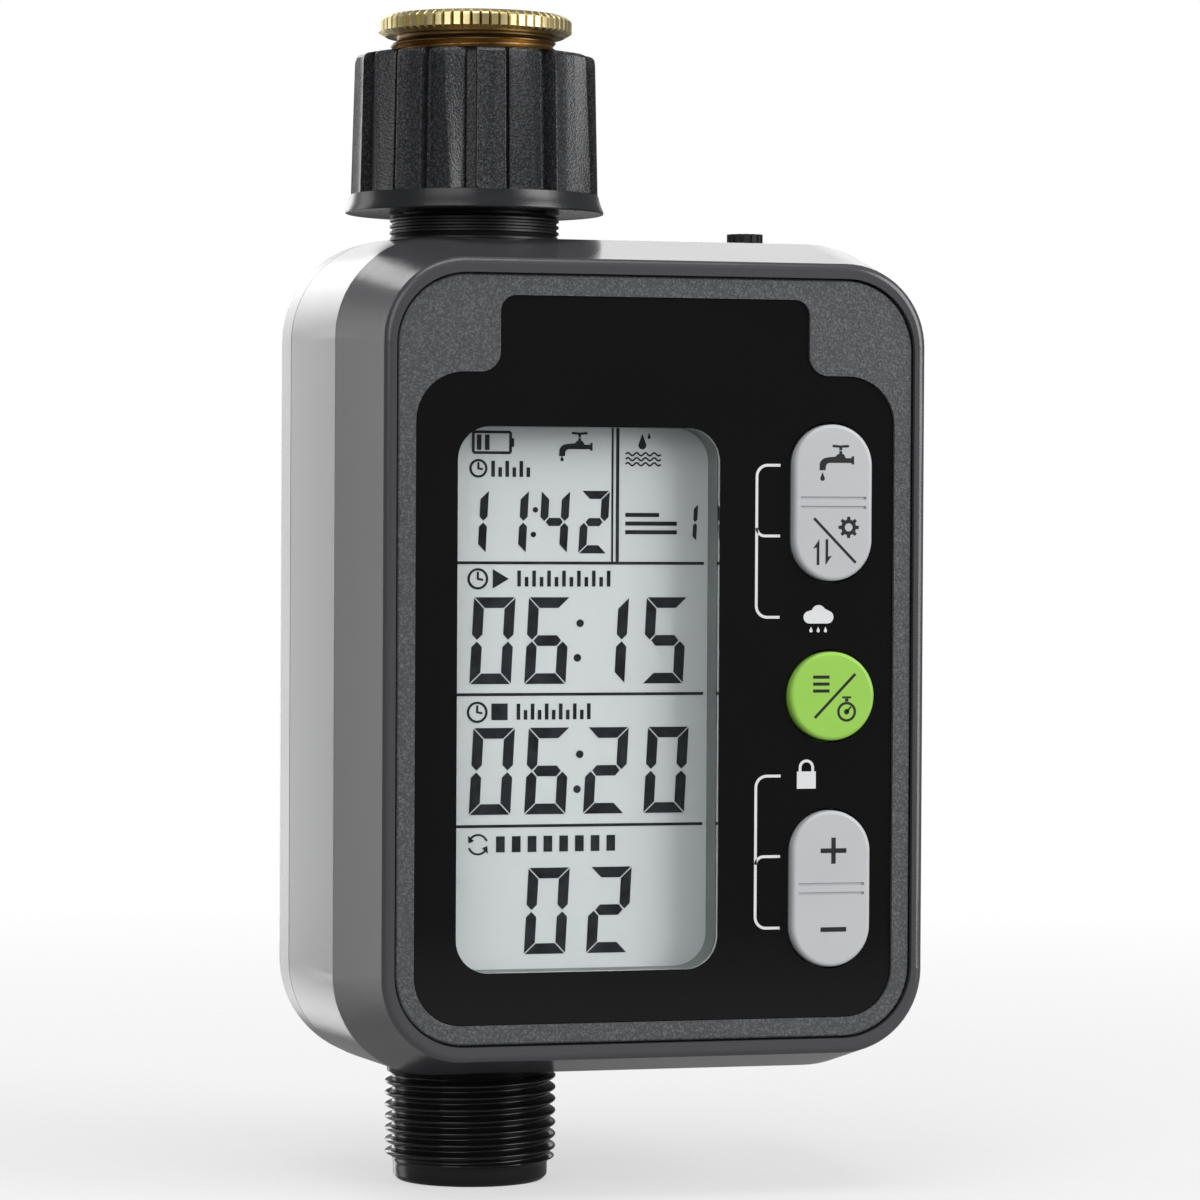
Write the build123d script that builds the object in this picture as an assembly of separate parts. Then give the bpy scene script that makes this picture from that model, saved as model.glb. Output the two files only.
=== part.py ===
from build123d import *
import os
from math import acos, cos, pi, radians, sin, tan

# Drip irrigation timer: a tap-mounted electronic water timer with a motor-driven ball valve.
# +Z is up, the water runs down the Z axis, the display faces -Y and the origin is the centre of the
# inlet mouth. All values are millimetres.

# ---------------------------------------------------------------- driving dimensions

# pipe threads (G3/4 on the nut, adapter and outlet, G1/2 inside the adapter)
G34_MAJOR_R = 13.22
G34_MINOR_R = 12.06
G34_PITCH = 1.814
G12_MINOR_R = 9.3155
THREAD_FLAT = 0.45
ADAPTER_CREST_R = 13.05
THREAD_FLANK = 27.5

# case
CASE_X = 20.45
CASE_Z = -98.2
FRONT_Y = -32.0
CREASE_Y = -12.5
PARTING_Y = 14.6
BACK_Y = 25.0
RIM_HALF = (42.0, 59.5, 12.4)
CREASE_HALF = (45.2, 63.6, 15.5)
PARTING_HALF = (46.0, 64.4, 16.3)
WALL = 2.4
RECESS_HALF = (40.35, 57.4, 10.8)
RECESS_FLOOR_Y = -29.2
FRONT_WALL_BACK_Y = -27.0
PARTING_GAP = 0.3

# display panel and its frame
PANEL_FRONT_Y = -30.9
FRAME_FRONT_Y = -31.5
PANEL_X = (-16.75, 57.7)
PANEL_Z = (-152.35, -55.6)
PANEL_TAB_X = (-3.9, 44.1)
PANEL_TAB_TOP_Z = -44.2
PANEL_R = 7.4
PANEL_TAB_R = 2.4
SEAM = 0.25
WINDOW_X = (-10.3, 30.3)
WINDOW_Z = (-144.75, -63.55)
WINDOW_R = 5.0
LENS_THICK = 1.0
LCD_FRONT_Y = -24.5
LCD_THICK = 2.5

# keys
KEY_X = 47.8
KEY_FRONT_Y = -32.4
UPPER_KEY_Z = -74.6
LOWER_KEY_Z = -132.9
ROUND_KEY_Z = -103.8
PILL_SIZE = (12.4, 23.6)
ROUND_KEY_R = 6.7
KEY_GAP = 0.4
KEY_FLANGE = 1.4
KEY_FLANGE_Y = (-26.3, -25.1)
KEY_GROOVE_OFFSET = 0.7

# circuit board
BOARD_X = (-12.4, 55.8)
BOARD_Z = (-155.6, -51.0)
BOARD_Y = (-20.6, -19.0)
HEADER_Y = -15.8
BOARD_SCREWS = ((-8.0, -55.0), (52.0, -55.0), (-8.0, -152.0), (52.0, -152.0))

# water path
FLOW_R = 7.5
NUT_Z = (-30.4, -6.1)
NUT_TOP_R = 18.6
NUT_BOTTOM_R = 19.1
NUT_FLANGE_R = 19.95
NUT_FLANGE_TALL = 2.9
NUT_RIBS = 9
RIM_R = 14.9
RIM_TALL = 3.2
RIM_TEETH = 48
ADAPTER_LOW_Z = -16.5
ADAPTER_TURNS = 6
ADAPTER_BORE_Z = -11.5
ADAPTER_GROOVE_R = 9.9
ADAPTER_GROOVE_Z = -13.5
ADAPTER_HOLE_R = 8.0
SPIGOT_TOP_Z = -19.3
SPIGOT_LOW_Z = -71.0
SPIGOT_R = 12.0
NECK_R = 13.05
NECK_Z = (-34.6, -30.8)
SOCKET_TOP_Z = -54.0
HOUSING_R = 15.5
HOUSING_LOW_Z = -97.0
OUTLET_PIPE_R = 12.4
OUTLET_LOW_Z = -179.3
SHOULDER_R = 14.5
SHOULDER_Z = (-157.4, -155.7)
OUTLET_THREAD_Z = -163.6
OUTLET_TURNS = 7

# valve and drive
BALL_Z = -82.0
BALL_R = 10.5
BALL_BORE_R = 6.5
RUNNING_FIT = 0.06
STEM_R = 3.0
GEAR_MODULE = 0.7
GEAR_TEETH = 42
PINION_TEETH = 14
GEAR_X = (19.0, 23.0)
PLATE_X = (25.0, 27.0)
GEARBOX_R = 10.0
GEARBOX_X = (27.0, 45.0)
MOTOR_R = 7.8
MOTOR_X = (45.0, 58.0)
POST_Y = 12.5
POST_DROP = 15.0

# battery bay and drawer
DRAWER_X = 38.0
DRAWER_Y = 0.5
BAY_OUTER = (34.4, 22.0)
BAY_WALL = 1.6
BAY_Z = (-157.9, -101.0)
CELL_R = 7.1
CELL_LONG = 50.0
CELL_Y = -0.2
CAP_SIZE = (34.0, 22.0)
CAP_Z = (-161.7, -159.3)

# rain sensor socket
SENSOR_X = 43.8
SENSOR_R = 3.2
SENSOR_TOP_Z = -34.0
LEAD_R = 0.7
PLUG_R = 2.8

# fasteners
CASE_SCREWS = (
    (-16.2, -43.9),
    (57.1, -43.9),
    (-19.2, -98.2),
    (60.0, -98.2),
    (-16.2, -152.5),
    (59.4, -149.2),
)
BOSS_R = 3.1
SCREW_R = 1.5
HEAD_POCKET_R = 3.2
HEAD_POCKET_DEEP = 4.0
POST_R = 2.6
PILOT_R = 1.05
LUG_Z = -104.0
LABEL_FIELD = (52.0, 70.0, 4.0)
LABEL_DEEP = 0.4

# ---------------------------------------------------------------- worked-out values

PINION_Z = BALL_Z + GEAR_MODULE * (GEAR_TEETH + PINION_TEETH) / 2
TOP_WALL_Z = CASE_Z + CREASE_HALF[1]
BOTTOM_WALL_Z = CASE_Z - CREASE_HALF[1]
COVER_INNER_Y = BACK_Y - WALL
WINDOW_MID = ((WINDOW_X[0] + WINDOW_X[1]) / 2, (WINDOW_Z[0] + WINDOW_Z[1]) / 2)
WINDOW_SIZE = (WINDOW_X[1] - WINDOW_X[0], WINDOW_Z[1] - WINDOW_Z[0])
KEY_SPOTS = (
    (KEY_X, UPPER_KEY_Z + 6.0),
    (KEY_X, UPPER_KEY_Z - 6.0),
    (KEY_X, ROUND_KEY_Z),
    (KEY_X, LOWER_KEY_Z + 6.0),
    (KEY_X, LOWER_KEY_Z - 6.0),
)

# ---------------------------------------------------------------- shape helpers


def drum(radius, z_low, z_high, x=0.0, y=0.0):
    """Upright cylinder between two heights."""
    return Pos(x, y, (z_low + z_high) / 2) * Cylinder(radius, z_high - z_low)


def drum_x(radius, x_low, x_high, y, z):
    """Cylinder lying along X."""
    return Pos((x_low + x_high) / 2, y, z) * Rot(0, 90, 0) * Cylinder(radius, x_high - x_low)


def drum_y(radius, y_low, y_high, x, z):
    """Cylinder lying along Y."""
    return Pos(x, (y_low + y_high) / 2, z) * Rot(90, 0, 0) * Cylinder(radius, y_high - y_low)


def slab(x_span, y_span, z_span):
    """Box given by its limits."""
    middle = [(span[0] + span[1]) / 2 for span in (x_span, y_span, z_span)]
    size = [span[1] - span[0] for span in (x_span, y_span, z_span)]
    return Pos(*middle) * Box(*size)


def upright_plane(y):
    """Drawing plane facing -Y at depth y."""
    return Plane.XZ.offset(-y)


def rounded(x, z, width, tall, radius, y_front, y_back):
    """Rounded rectangle standing in the XZ plane between two depths."""
    sketch = upright_plane(y_back) * Pos(x, z) * RectangleRounded(width, tall, radius)
    return extrude(sketch, amount=y_back - y_front)


def pill(x, z, width, tall, y_front, y_back):
    """Upright bar with full round ends."""
    return rounded(x, z, width, tall, width / 2 - 0.001, y_front, y_back)


def flat_rounded(x, y, width, deep, radius, z_low, z_high):
    """Rounded rectangle lying flat between two heights."""
    sketch = Plane.XY.offset(z_low) * Pos(x, y) * RectangleRounded(width, deep, radius)
    return extrude(sketch, amount=z_high - z_low)


def turned(points):
    """Solid of revolution about Z from (radius, height) points."""
    outline = make_face(Plane.XZ * Polyline(points, close=True))
    return revolve(outline, Axis.Z)


def ridges(z_first, turns, pitch, root_r, crest_r, flat):
    """Outline points of a row of thread crests, from the first one down."""
    slope = (crest_r - root_r) * tan(radians(THREAD_FLANK))
    points = []
    for turn in range(turns):
        z = z_first - turn * pitch
        points.append((root_r, z + slope))
        points.append((crest_r, z))
        points.append((crest_r, z - flat))
        points.append((root_r, z - flat - slope))
    return points


def case_half(y):
    """Half width, half height and corner radius of the case's outside at depth y."""
    if y <= CREASE_Y:
        share = (y - FRONT_Y) / (CREASE_Y - FRONT_Y)
        return [a + share * (b - a) for a, b in zip(RIM_HALF, CREASE_HALF)]
    share = (y - CREASE_Y) / (PARTING_Y - CREASE_Y)
    return [a + share * (b - a) for a, b in zip(CREASE_HALF, PARTING_HALF)]


def case_section(y, inset=0.0):
    """Rounded rectangle of the case at depth y, moved inwards by inset."""
    half_w, half_h, radius = case_half(y)
    outline = RectangleRounded(2 * (half_w - inset), 2 * (half_h - inset), radius - inset)
    return upright_plane(y) * Pos(CASE_X, CASE_Z) * outline


def case_block(y_front, y_back, inset=0.0):
    """Case-shaped block between two depths on the same side of the crease."""
    return loft([case_section(y_front, inset), case_section(y_back, inset)], ruled=True)


def edges_at(shape, y):
    """Edges that lie in the plane at depth y."""
    return shape.edges().filter_by_position(Axis.Y, y - 0.01, y + 0.01)


def panel_outline(grow):
    """Panel outline: a rounded rectangle with a raised tab at the top."""
    x_low, x_high = PANEL_X[0] - grow, PANEL_X[1] + grow
    z_low, z_high = PANEL_Z[0] - grow, PANEL_Z[1] + grow
    tab_low, tab_high = PANEL_TAB_X[0] - grow, PANEL_TAB_X[1] + grow
    top = PANEL_TAB_TOP_Z + grow
    points = [
        (x_low, z_low),
        (x_high, z_low),
        (x_high, z_high),
        (tab_high, z_high),
        (tab_high, top),
        (tab_low, top),
        (tab_low, z_high),
        (x_low, z_high),
    ]
    radii = [PANEL_R, PANEL_R, PANEL_R, 3.0, PANEL_TAB_R, PANEL_TAB_R, 3.0, PANEL_R]
    face = make_face(Polyline(points, close=True))
    for point, radius in zip(points, radii):
        corner = face.vertices().sort_by_distance((point[0], point[1], 0))[0]
        face = fillet(corner, radius)
    return face


def panel_block(y_front, y_back, grow=0.0):
    """Solid with the panel's outline between two depths."""
    return extrude(upright_plane(y_back) * panel_outline(grow), amount=y_back - y_front)


def window_block(y_front, y_back, grow=0.0):
    """Solid with the window's outline between two depths."""
    width, tall = WINDOW_SIZE[0] + 2 * grow, WINDOW_SIZE[1] + 2 * grow
    return rounded(*WINDOW_MID, width, tall, WINDOW_R + grow, y_front, y_back)


def key_openings(y_front, y_back, gap):
    """The three key holes as one cutting tool."""
    upper = pill(KEY_X, UPPER_KEY_Z, PILL_SIZE[0] + 2 * gap, PILL_SIZE[1] + 2 * gap, y_front, y_back)
    lower = pill(KEY_X, LOWER_KEY_Z, PILL_SIZE[0] + 2 * gap, PILL_SIZE[1] + 2 * gap, y_front, y_back)
    middle = drum_y(ROUND_KEY_R + gap, y_front, y_back, KEY_X, ROUND_KEY_Z)
    return upper + lower + middle


# ---------------------------------------------------------------- case


def front_shell():
    """Front housing: sloped bezel, side walls, recess for the face, screw bosses."""
    shell = case_block(FRONT_Y, CREASE_Y) + case_block(CREASE_Y, PARTING_Y)
    shell = fillet(edges_at(shell, CREASE_Y), 1.6)
    shell = fillet(edges_at(shell, FRONT_Y), 1.1)
    shell -= case_block(FRONT_WALL_BACK_Y, CREASE_Y, WALL)
    shell -= case_block(CREASE_Y, PARTING_Y, WALL)
    for x, z in CASE_SCREWS:
        shell += drum_y(BOSS_R, FRONT_WALL_BACK_Y - 0.5, PARTING_Y - 0.1, x, z)
        shell -= drum_y(SCREW_R + 0.05, -6.0, PARTING_Y, x, z)
    for x, z in BOARD_SCREWS:
        shell += drum_y(POST_R, FRONT_WALL_BACK_Y - 0.5, BOARD_Y[0], x, z)
        shell -= drum_y(PILOT_R, FRONT_WALL_BACK_Y, BOARD_Y[0], x, z)
    half_w, half_h, radius = RECESS_HALF
    shell -= rounded(CASE_X, CASE_Z, 2 * half_w, 2 * half_h, radius, FRONT_Y - 1, RECESS_FLOOR_Y)
    shell -= window_block(FRONT_Y, FRONT_WALL_BACK_Y + 0.5, 2.4)
    shell -= key_openings(FRONT_Y, FRONT_WALL_BACK_Y + 0.5, KEY_GAP + 0.1)
    shell -= drum(SPIGOT_R + 0.2, TOP_WALL_Z - 5, TOP_WALL_Z + 3)
    shell -= drum(NECK_R + 0.15, NECK_Z[0] - 0.02, TOP_WALL_Z + 3)
    shell -= drum(SENSOR_R + 0.1, TOP_WALL_Z - 5, TOP_WALL_Z + 3, SENSOR_X, 0)
    shell -= drum(G34_MAJOR_R + 0.25, BOTTOM_WALL_Z - 3, BOTTOM_WALL_Z + 5)
    cap_w, cap_d = CAP_SIZE[0] + 0.8, CAP_SIZE[1] + 0.8
    shell -= flat_rounded(DRAWER_X, DRAWER_Y, cap_w, cap_d, 3.4, BOTTOM_WALL_Z - 3, BOTTOM_WALL_Z + 5)
    groove = gasket_ring(1.3, PARTING_Y - 0.7, PARTING_Y)
    return shell - groove


def gasket_ring(width, y_front, y_back):
    """Ring that follows the case's parting edge, midway through the wall."""
    half_w, half_h, radius = PARTING_HALF
    outer = WALL / 2 - width / 2
    inner = WALL / 2 + width / 2
    ring = rounded(CASE_X, CASE_Z, 2 * (half_w - outer), 2 * (half_h - outer), radius - outer, y_front, y_back)
    return ring - rounded(
        CASE_X, CASE_Z, 2 * (half_w - inner), 2 * (half_h - inner), radius - inner, y_front, y_back
    )


def rear_cover():
    """Rear housing: a shallow dish with screw columns and posts for the battery bay."""
    half_w, half_h, radius = PARTING_HALF
    y_front = PARTING_Y + PARTING_GAP
    cover = rounded(CASE_X, CASE_Z, 2 * half_w, 2 * half_h, radius, y_front, BACK_Y)
    cover = fillet(edges_at(cover, BACK_Y), 3.6)
    inner_w, inner_h = 2 * (half_w - WALL), 2 * (half_h - WALL)
    cover -= rounded(CASE_X, CASE_Z, inner_w, inner_h, radius - WALL, y_front, COVER_INNER_Y)
    for x, z in CASE_SCREWS:
        cover += drum_y(BOSS_R + 1.2, y_front, COVER_INNER_Y + 0.5, x, z) & cover_envelope()
    for x in bay_lug_places():
        cover += drum_y(POST_R, DRAWER_Y + BAY_OUTER[1] / 2 + 0.02, COVER_INNER_Y + 0.5, x, LUG_Z)
        cover -= drum_y(PILOT_R, DRAWER_Y + BAY_OUTER[1] / 2, COVER_INNER_Y - 1, x, LUG_Z)
    for x, z in CASE_SCREWS:
        cover -= drum_y(SCREW_R + 0.3, y_front, BACK_Y, x, z)
        cover -= drum_y(HEAD_POCKET_R, BACK_Y - HEAD_POCKET_DEEP, BACK_Y, x, z)
    cover -= rounded(CASE_X, CASE_Z, *LABEL_FIELD, BACK_Y - LABEL_DEEP, BACK_Y + 1)
    return cover - gasket_ring(1.3, y_front, y_front + 0.7)


def cover_envelope():
    """Solid outer volume of the rear cover, to keep its columns inside the walls."""
    half_w, half_h, radius = PARTING_HALF
    return rounded(
        CASE_X, CASE_Z, 2 * half_w - 1, 2 * half_h - 1, radius - 0.5, PARTING_Y + PARTING_GAP, BACK_Y - 0.5
    )


def shell_gasket():
    """Rubber ring squeezed between the two housings."""
    return gasket_ring(1.2, PARTING_Y - 0.65, PARTING_Y + PARTING_GAP + 0.65)


def case_screws():
    """Six pan-head screws that close the case from behind."""
    head_y = (BACK_Y - HEAD_POCKET_DEEP + 0.02, BACK_Y - 1.9)
    group = []
    for x, z in CASE_SCREWS:
        screw = drum_y(2.8, *head_y, x, z) + drum_y(SCREW_R, -2.0, head_y[0] + 0.1, x, z)
        screw -= drum_y(0.9, head_y[1] - 1.2, head_y[1], x, z)
        group.append(screw)
    return group


def face_frame():
    """Grey frame that fills the recess around the dark panel."""
    half_w, half_h, radius = (value - SEAM for value in RECESS_HALF)
    frame = rounded(CASE_X, CASE_Z, 2 * half_w, 2 * half_h, radius, FRAME_FRONT_Y, RECESS_FLOOR_Y)
    frame = fillet(edges_at(frame, FRAME_FRONT_Y), 0.4)
    return frame - panel_block(FRAME_FRONT_Y - 1, RECESS_FLOOR_Y, 0.1)


def display_panel():
    """Dark glossy panel with the window and key holes."""
    panel = panel_block(PANEL_FRONT_Y, RECESS_FLOOR_Y)
    panel -= window_block(PANEL_FRONT_Y, RECESS_FLOOR_Y)
    return panel - key_openings(PANEL_FRONT_Y, RECESS_FLOOR_Y, KEY_GAP)


def window_lens():
    """Clear window set just under the panel's surface."""
    return window_block(PANEL_FRONT_Y + 0.15, PANEL_FRONT_Y + 0.15 + LENS_THICK, -0.02)


def lcd_surround():
    """Pale frame between the panel and the display glass."""
    ring = window_block(RECESS_FLOOR_Y, LCD_FRONT_Y, 2.0)
    return ring - window_block(RECESS_FLOOR_Y, LCD_FRONT_Y, 0.0)


def lcd_glass():
    """Liquid crystal display cell."""
    width, tall = WINDOW_SIZE[0] + 3.0, WINDOW_SIZE[1] + 4.0
    return rounded(*WINDOW_MID, width, tall, 0.6, LCD_FRONT_Y, LCD_FRONT_Y + LCD_THICK)


def zebra_strips():
    """Two conductive rubber strips between the display and the board."""
    x_span = (WINDOW_X[0] + 1, WINDOW_X[1] - 1)
    strips = []
    for z in (WINDOW_Z[0] - 0.4, WINDOW_Z[1] + 0.4):
        strips.append(slab(x_span, (LCD_FRONT_Y + LCD_THICK, BOARD_Y[0]), (z - 1.0, z + 1.0)))
    return strips


# ---------------------------------------------------------------- keys and board


def pill_key(z):
    """Rocker key: a round-ended cap with a cross groove and a retaining flange."""
    key = pill(KEY_X, z, *PILL_SIZE, KEY_FRONT_Y, KEY_FLANGE_Y[1])
    key = fillet(edges_at(key, KEY_FRONT_Y), 0.6)
    key += pill(KEY_X, z, PILL_SIZE[0] + 2 * KEY_FLANGE, PILL_SIZE[1] + 2 * KEY_FLANGE, *KEY_FLANGE_Y)
    for offset in (-KEY_GROOVE_OFFSET, KEY_GROOVE_OFFSET):
        groove_z = (z + offset - 0.22, z + offset + 0.22)
        key -= slab((KEY_X - 5.2, KEY_X + 5.2), (KEY_FRONT_Y - 1, KEY_FRONT_Y + 0.3), groove_z)
    return key


def round_key():
    """Round mode key with its retaining flange."""
    key = drum_y(ROUND_KEY_R, KEY_FRONT_Y, KEY_FLANGE_Y[1], KEY_X, ROUND_KEY_Z)
    key = fillet(edges_at(key, KEY_FRONT_Y), 0.6)
    return key + drum_y(ROUND_KEY_R + KEY_FLANGE, *KEY_FLANGE_Y, KEY_X, ROUND_KEY_Z)


def keypad_mat():
    """Silicone sheet over the switches, with a raised pad under each press point."""
    mat = rounded(KEY_X, ROUND_KEY_Z, 12.0, 84.0, 2.0, -24.0, -23.4)
    for x, z in KEY_SPOTS:
        mat += drum_y(2.4, -24.4, -23.9, x, z)
    return mat


def main_board():
    """Circuit board carrying the display, switches and controller."""
    mid_x, mid_z = sum(BOARD_X) / 2, sum(BOARD_Z) / 2
    wide, tall = BOARD_X[1] - BOARD_X[0], BOARD_Z[1] - BOARD_Z[0]
    board = rounded(mid_x, mid_z, wide, tall, 1.5, *BOARD_Y)
    for x, z in BOARD_SCREWS:
        board -= drum_y(1.3, *BOARD_Y, x, z)
    return board


def board_screws():
    """Four small screws that hold the board to the front shell."""
    screws = []
    for x, z in BOARD_SCREWS:
        screws.append(drum_y(1.0, -25.6, BOARD_Y[1] + 0.05, x, z) + drum_y(2.0, BOARD_Y[1], -17.6, x, z))
    return screws


def tact_switches():
    """Five push switches, one under each press point."""
    switches = []
    for x, z in KEY_SPOTS:
        body = slab((x - 3, x + 3), (-22.7, BOARD_Y[0]), (z - 3, z + 3))
        switches.append(body + drum_y(1.6, -23.35, -22.6, x, z))
    return switches


def controller_chip():
    """Microcontroller on the back of the board."""
    chip = slab((4.0, 14.0), (BOARD_Y[1], BOARD_Y[1] + 1.4), (-124.0, -114.0))
    for row in range(10):
        z = -123.2 + row * 0.9
        leg = slab((3.0, 15.0), (BOARD_Y[1], BOARD_Y[1] + 0.5), (z, z + 0.4))
        chip += leg
    return chip


def board_parts():
    """Capacitors, coil and lead header on the back of the board."""
    y = BOARD_Y[1]
    return [
        drum_y(3.1, y, y + 5.4, 33.0, -115.0),
        drum_y(3.1, y, y + 5.4, 42.0, -115.0),
        slab((8.0, 14.0), (y, y + 3.0), (-138.0, -132.0)),
        slab((44.0, 54.0), (y, HEADER_Y), (-67.0, -61.5)),
        slab((-6.0, -2.8), (y, y + 1.2), (-122.0, -116.0)),
    ]


def buzzer():
    """Round sounder that beeps at each key press."""
    x, z = 43.0, -92.0
    shape = drum_y(6.0, BOARD_Y[1], BOARD_Y[1] + 5.0, x, z)
    return shape - drum_y(1.0, BOARD_Y[1] + 3.0, BOARD_Y[1] + 5.0, x, z)


# ---------------------------------------------------------------- inlet


def brass_adapter():
    """Screw-in adapter: knurled rim, outside G3/4 thread, inside G1/2 thread."""
    rim = Circle(RIM_R - 0.6)
    tooth = Pos(RIM_R - 0.6, 0) * Rectangle(1.2, 1.05)
    for place in PolarLocations(0, RIM_TEETH):
        rim += place * tooth
    body = extrude(Plane.XY.offset(-RIM_TALL) * rim, amount=RIM_TALL)
    stem = [(0, -RIM_TALL + 0.1), (G34_MINOR_R, -RIM_TALL + 0.1)]
    stem += ridges(-RIM_TALL - 0.9, ADAPTER_TURNS, G34_PITCH, G34_MINOR_R, ADAPTER_CREST_R, THREAD_FLAT)
    stem += [(G34_MINOR_R, ADAPTER_LOW_Z + 0.6), (G34_MINOR_R - 0.6, ADAPTER_LOW_Z), (0, ADAPTER_LOW_Z)]
    body += turned(stem)
    body -= drum(G12_MINOR_R, ADAPTER_BORE_Z, 1)
    body -= drum(ADAPTER_GROOVE_R, ADAPTER_GROOVE_Z, ADAPTER_BORE_Z)
    return body - drum(ADAPTER_HOLE_R, ADAPTER_LOW_Z - 1, ADAPTER_GROOVE_Z + 0.1)


def adapter_washer():
    """Rubber washer snapped into the adapter's inner groove."""
    washer = drum(ADAPTER_GROOVE_R - 0.15, ADAPTER_GROOVE_Z + 0.05, ADAPTER_BORE_Z - 0.1)
    return washer - drum(6.8, ADAPTER_GROOVE_Z - 0.5, ADAPTER_BORE_Z + 0.5)


def swivel_nut():
    """Ribbed swivel nut, free to turn on the inlet spigot."""
    z_low, z_high = NUT_Z
    flange_top = z_low + NUT_FLANGE_TALL
    profile = [
        (0, z_low),
        (NUT_FLANGE_R - 0.6, z_low),
        (NUT_FLANGE_R, z_low + 0.6),
        (NUT_BOTTOM_R + 0.1, flange_top),
        (NUT_TOP_R, z_high - 0.6),
        (NUT_TOP_R - 0.6, z_high),
        (0, z_high),
    ]
    nut = turned(profile)
    slot = Pos(NUT_BOTTOM_R, 0, (flange_top + z_high) / 2 + 0.5) * Box(2.4, 1.3, z_high - flange_top + 1)
    facet = Pos(NUT_BOTTOM_R + 0.75, 0, (flange_top + z_high) / 2 + 0.6)
    facet = facet * Rot(0, 0, 14) * Box(2.6, 5.6, z_high - flange_top + 1)
    for place in PolarLocations(0, NUT_RIBS):
        nut -= place * slot
        nut -= place * Rot(0, 0, 15) * facet
    nut -= drum(G34_MAJOR_R + 0.08, -20.5, z_high + 1)
    nut -= drum(G34_MAJOR_R + 0.4, flange_top, -20.4)
    return nut - drum(11.35, z_low - 1, flange_top + 0.1)


def nut_retaining_ring():
    """Split ring in the spigot's groove that holds the nut on."""
    ring = drum(12.6, -26.5, -25.1) - drum(10.4, -27, -24)
    return ring - slab((9, 14), (-1.5, 1.5), (-27, -24))


def inlet_washer():
    """Flat rubber washer between adapter and spigot."""
    return drum(11.9, SPIGOT_TOP_Z + 0.6, ADAPTER_LOW_Z - 0.1) - drum(8.0, -20, -16)


def filter_screen():
    """Cup strainer with a brim, clamped under the washer."""
    brim = drum(11.7, SPIGOT_TOP_Z + 0.02, SPIGOT_TOP_Z + 0.5)
    cup = brim + drum(7.3, SPIGOT_TOP_Z - 8, SPIGOT_TOP_Z + 0.1)
    cup -= drum(6.5, SPIGOT_TOP_Z - 7.2, SPIGOT_TOP_Z + 1)
    holes = [(0.0, 0.0)]
    for ring, count in ((2.5, 6), (5.0, 12)):
        holes += [(ring * cos(2 * pi * k / count), ring * sin(2 * pi * k / count)) for k in range(count)]
    for x, y in holes:
        cup -= drum(0.8, SPIGOT_TOP_Z - 9, SPIGOT_TOP_Z - 7, x, y)
    return cup


def inlet_spigot():
    """Black inlet pipe that the nut turns on, plugged into the valve body."""
    neck_low, neck_high = NECK_Z
    profile = [
        (FLOW_R, SPIGOT_TOP_Z),
        (11.8, SPIGOT_TOP_Z),
        (11.8, -21.3),
        (11.0, -21.3),
        (11.0, -25.0),
        (10.3, -25.0),
        (10.3, -26.6),
        (11.0, -26.6),
        (11.0, neck_high),
        (NECK_R, neck_high),
    ]
    profile += ridges(neck_high - 0.5, 3, 0.95, NECK_R - 0.35, NECK_R, 0.3)
    profile += [
        (NECK_R, neck_low + 0.3),
        (NECK_R, neck_low),
        (SPIGOT_R, neck_low),
        (SPIGOT_R, -57.0),
        (10.6, -57.0),
        (10.6, -59.2),
        (SPIGOT_R, -59.2),
        (SPIGOT_R, SPIGOT_LOW_Z),
        (FLOW_R, SPIGOT_LOW_Z),
    ]
    return turned(profile) - clip_legs(1.25)


def spigot_oring():
    """Rubber ring that seals the spigot in its socket."""
    return drum(12.05, -59.1, -57.1) - drum(10.65, -60, -56)


def neck_seal():
    """Flat seal under the case's top wall."""
    return drum(13.9, -39.0, -37.7) - drum(12.05, -40, -37)


def clip_legs(radius):
    """Space of the two legs of the spigot clip."""
    return drum_y(radius, -16.4, 17.5, 11.6, -65.0) + drum_y(radius, -16.4, 17.5, -11.6, -65.0)


def spigot_clip():
    """U-shaped clip that locks the spigot in the valve body."""
    bridge = drum_x(1.2, -11.6, 11.6, 17.5, -65.0)
    ends = Pos(11.6, 17.5, -65.0) * Sphere(1.2) + Pos(-11.6, 17.5, -65.0) * Sphere(1.2)
    return clip_legs(1.2) + bridge + ends


# ---------------------------------------------------------------- valve


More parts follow.
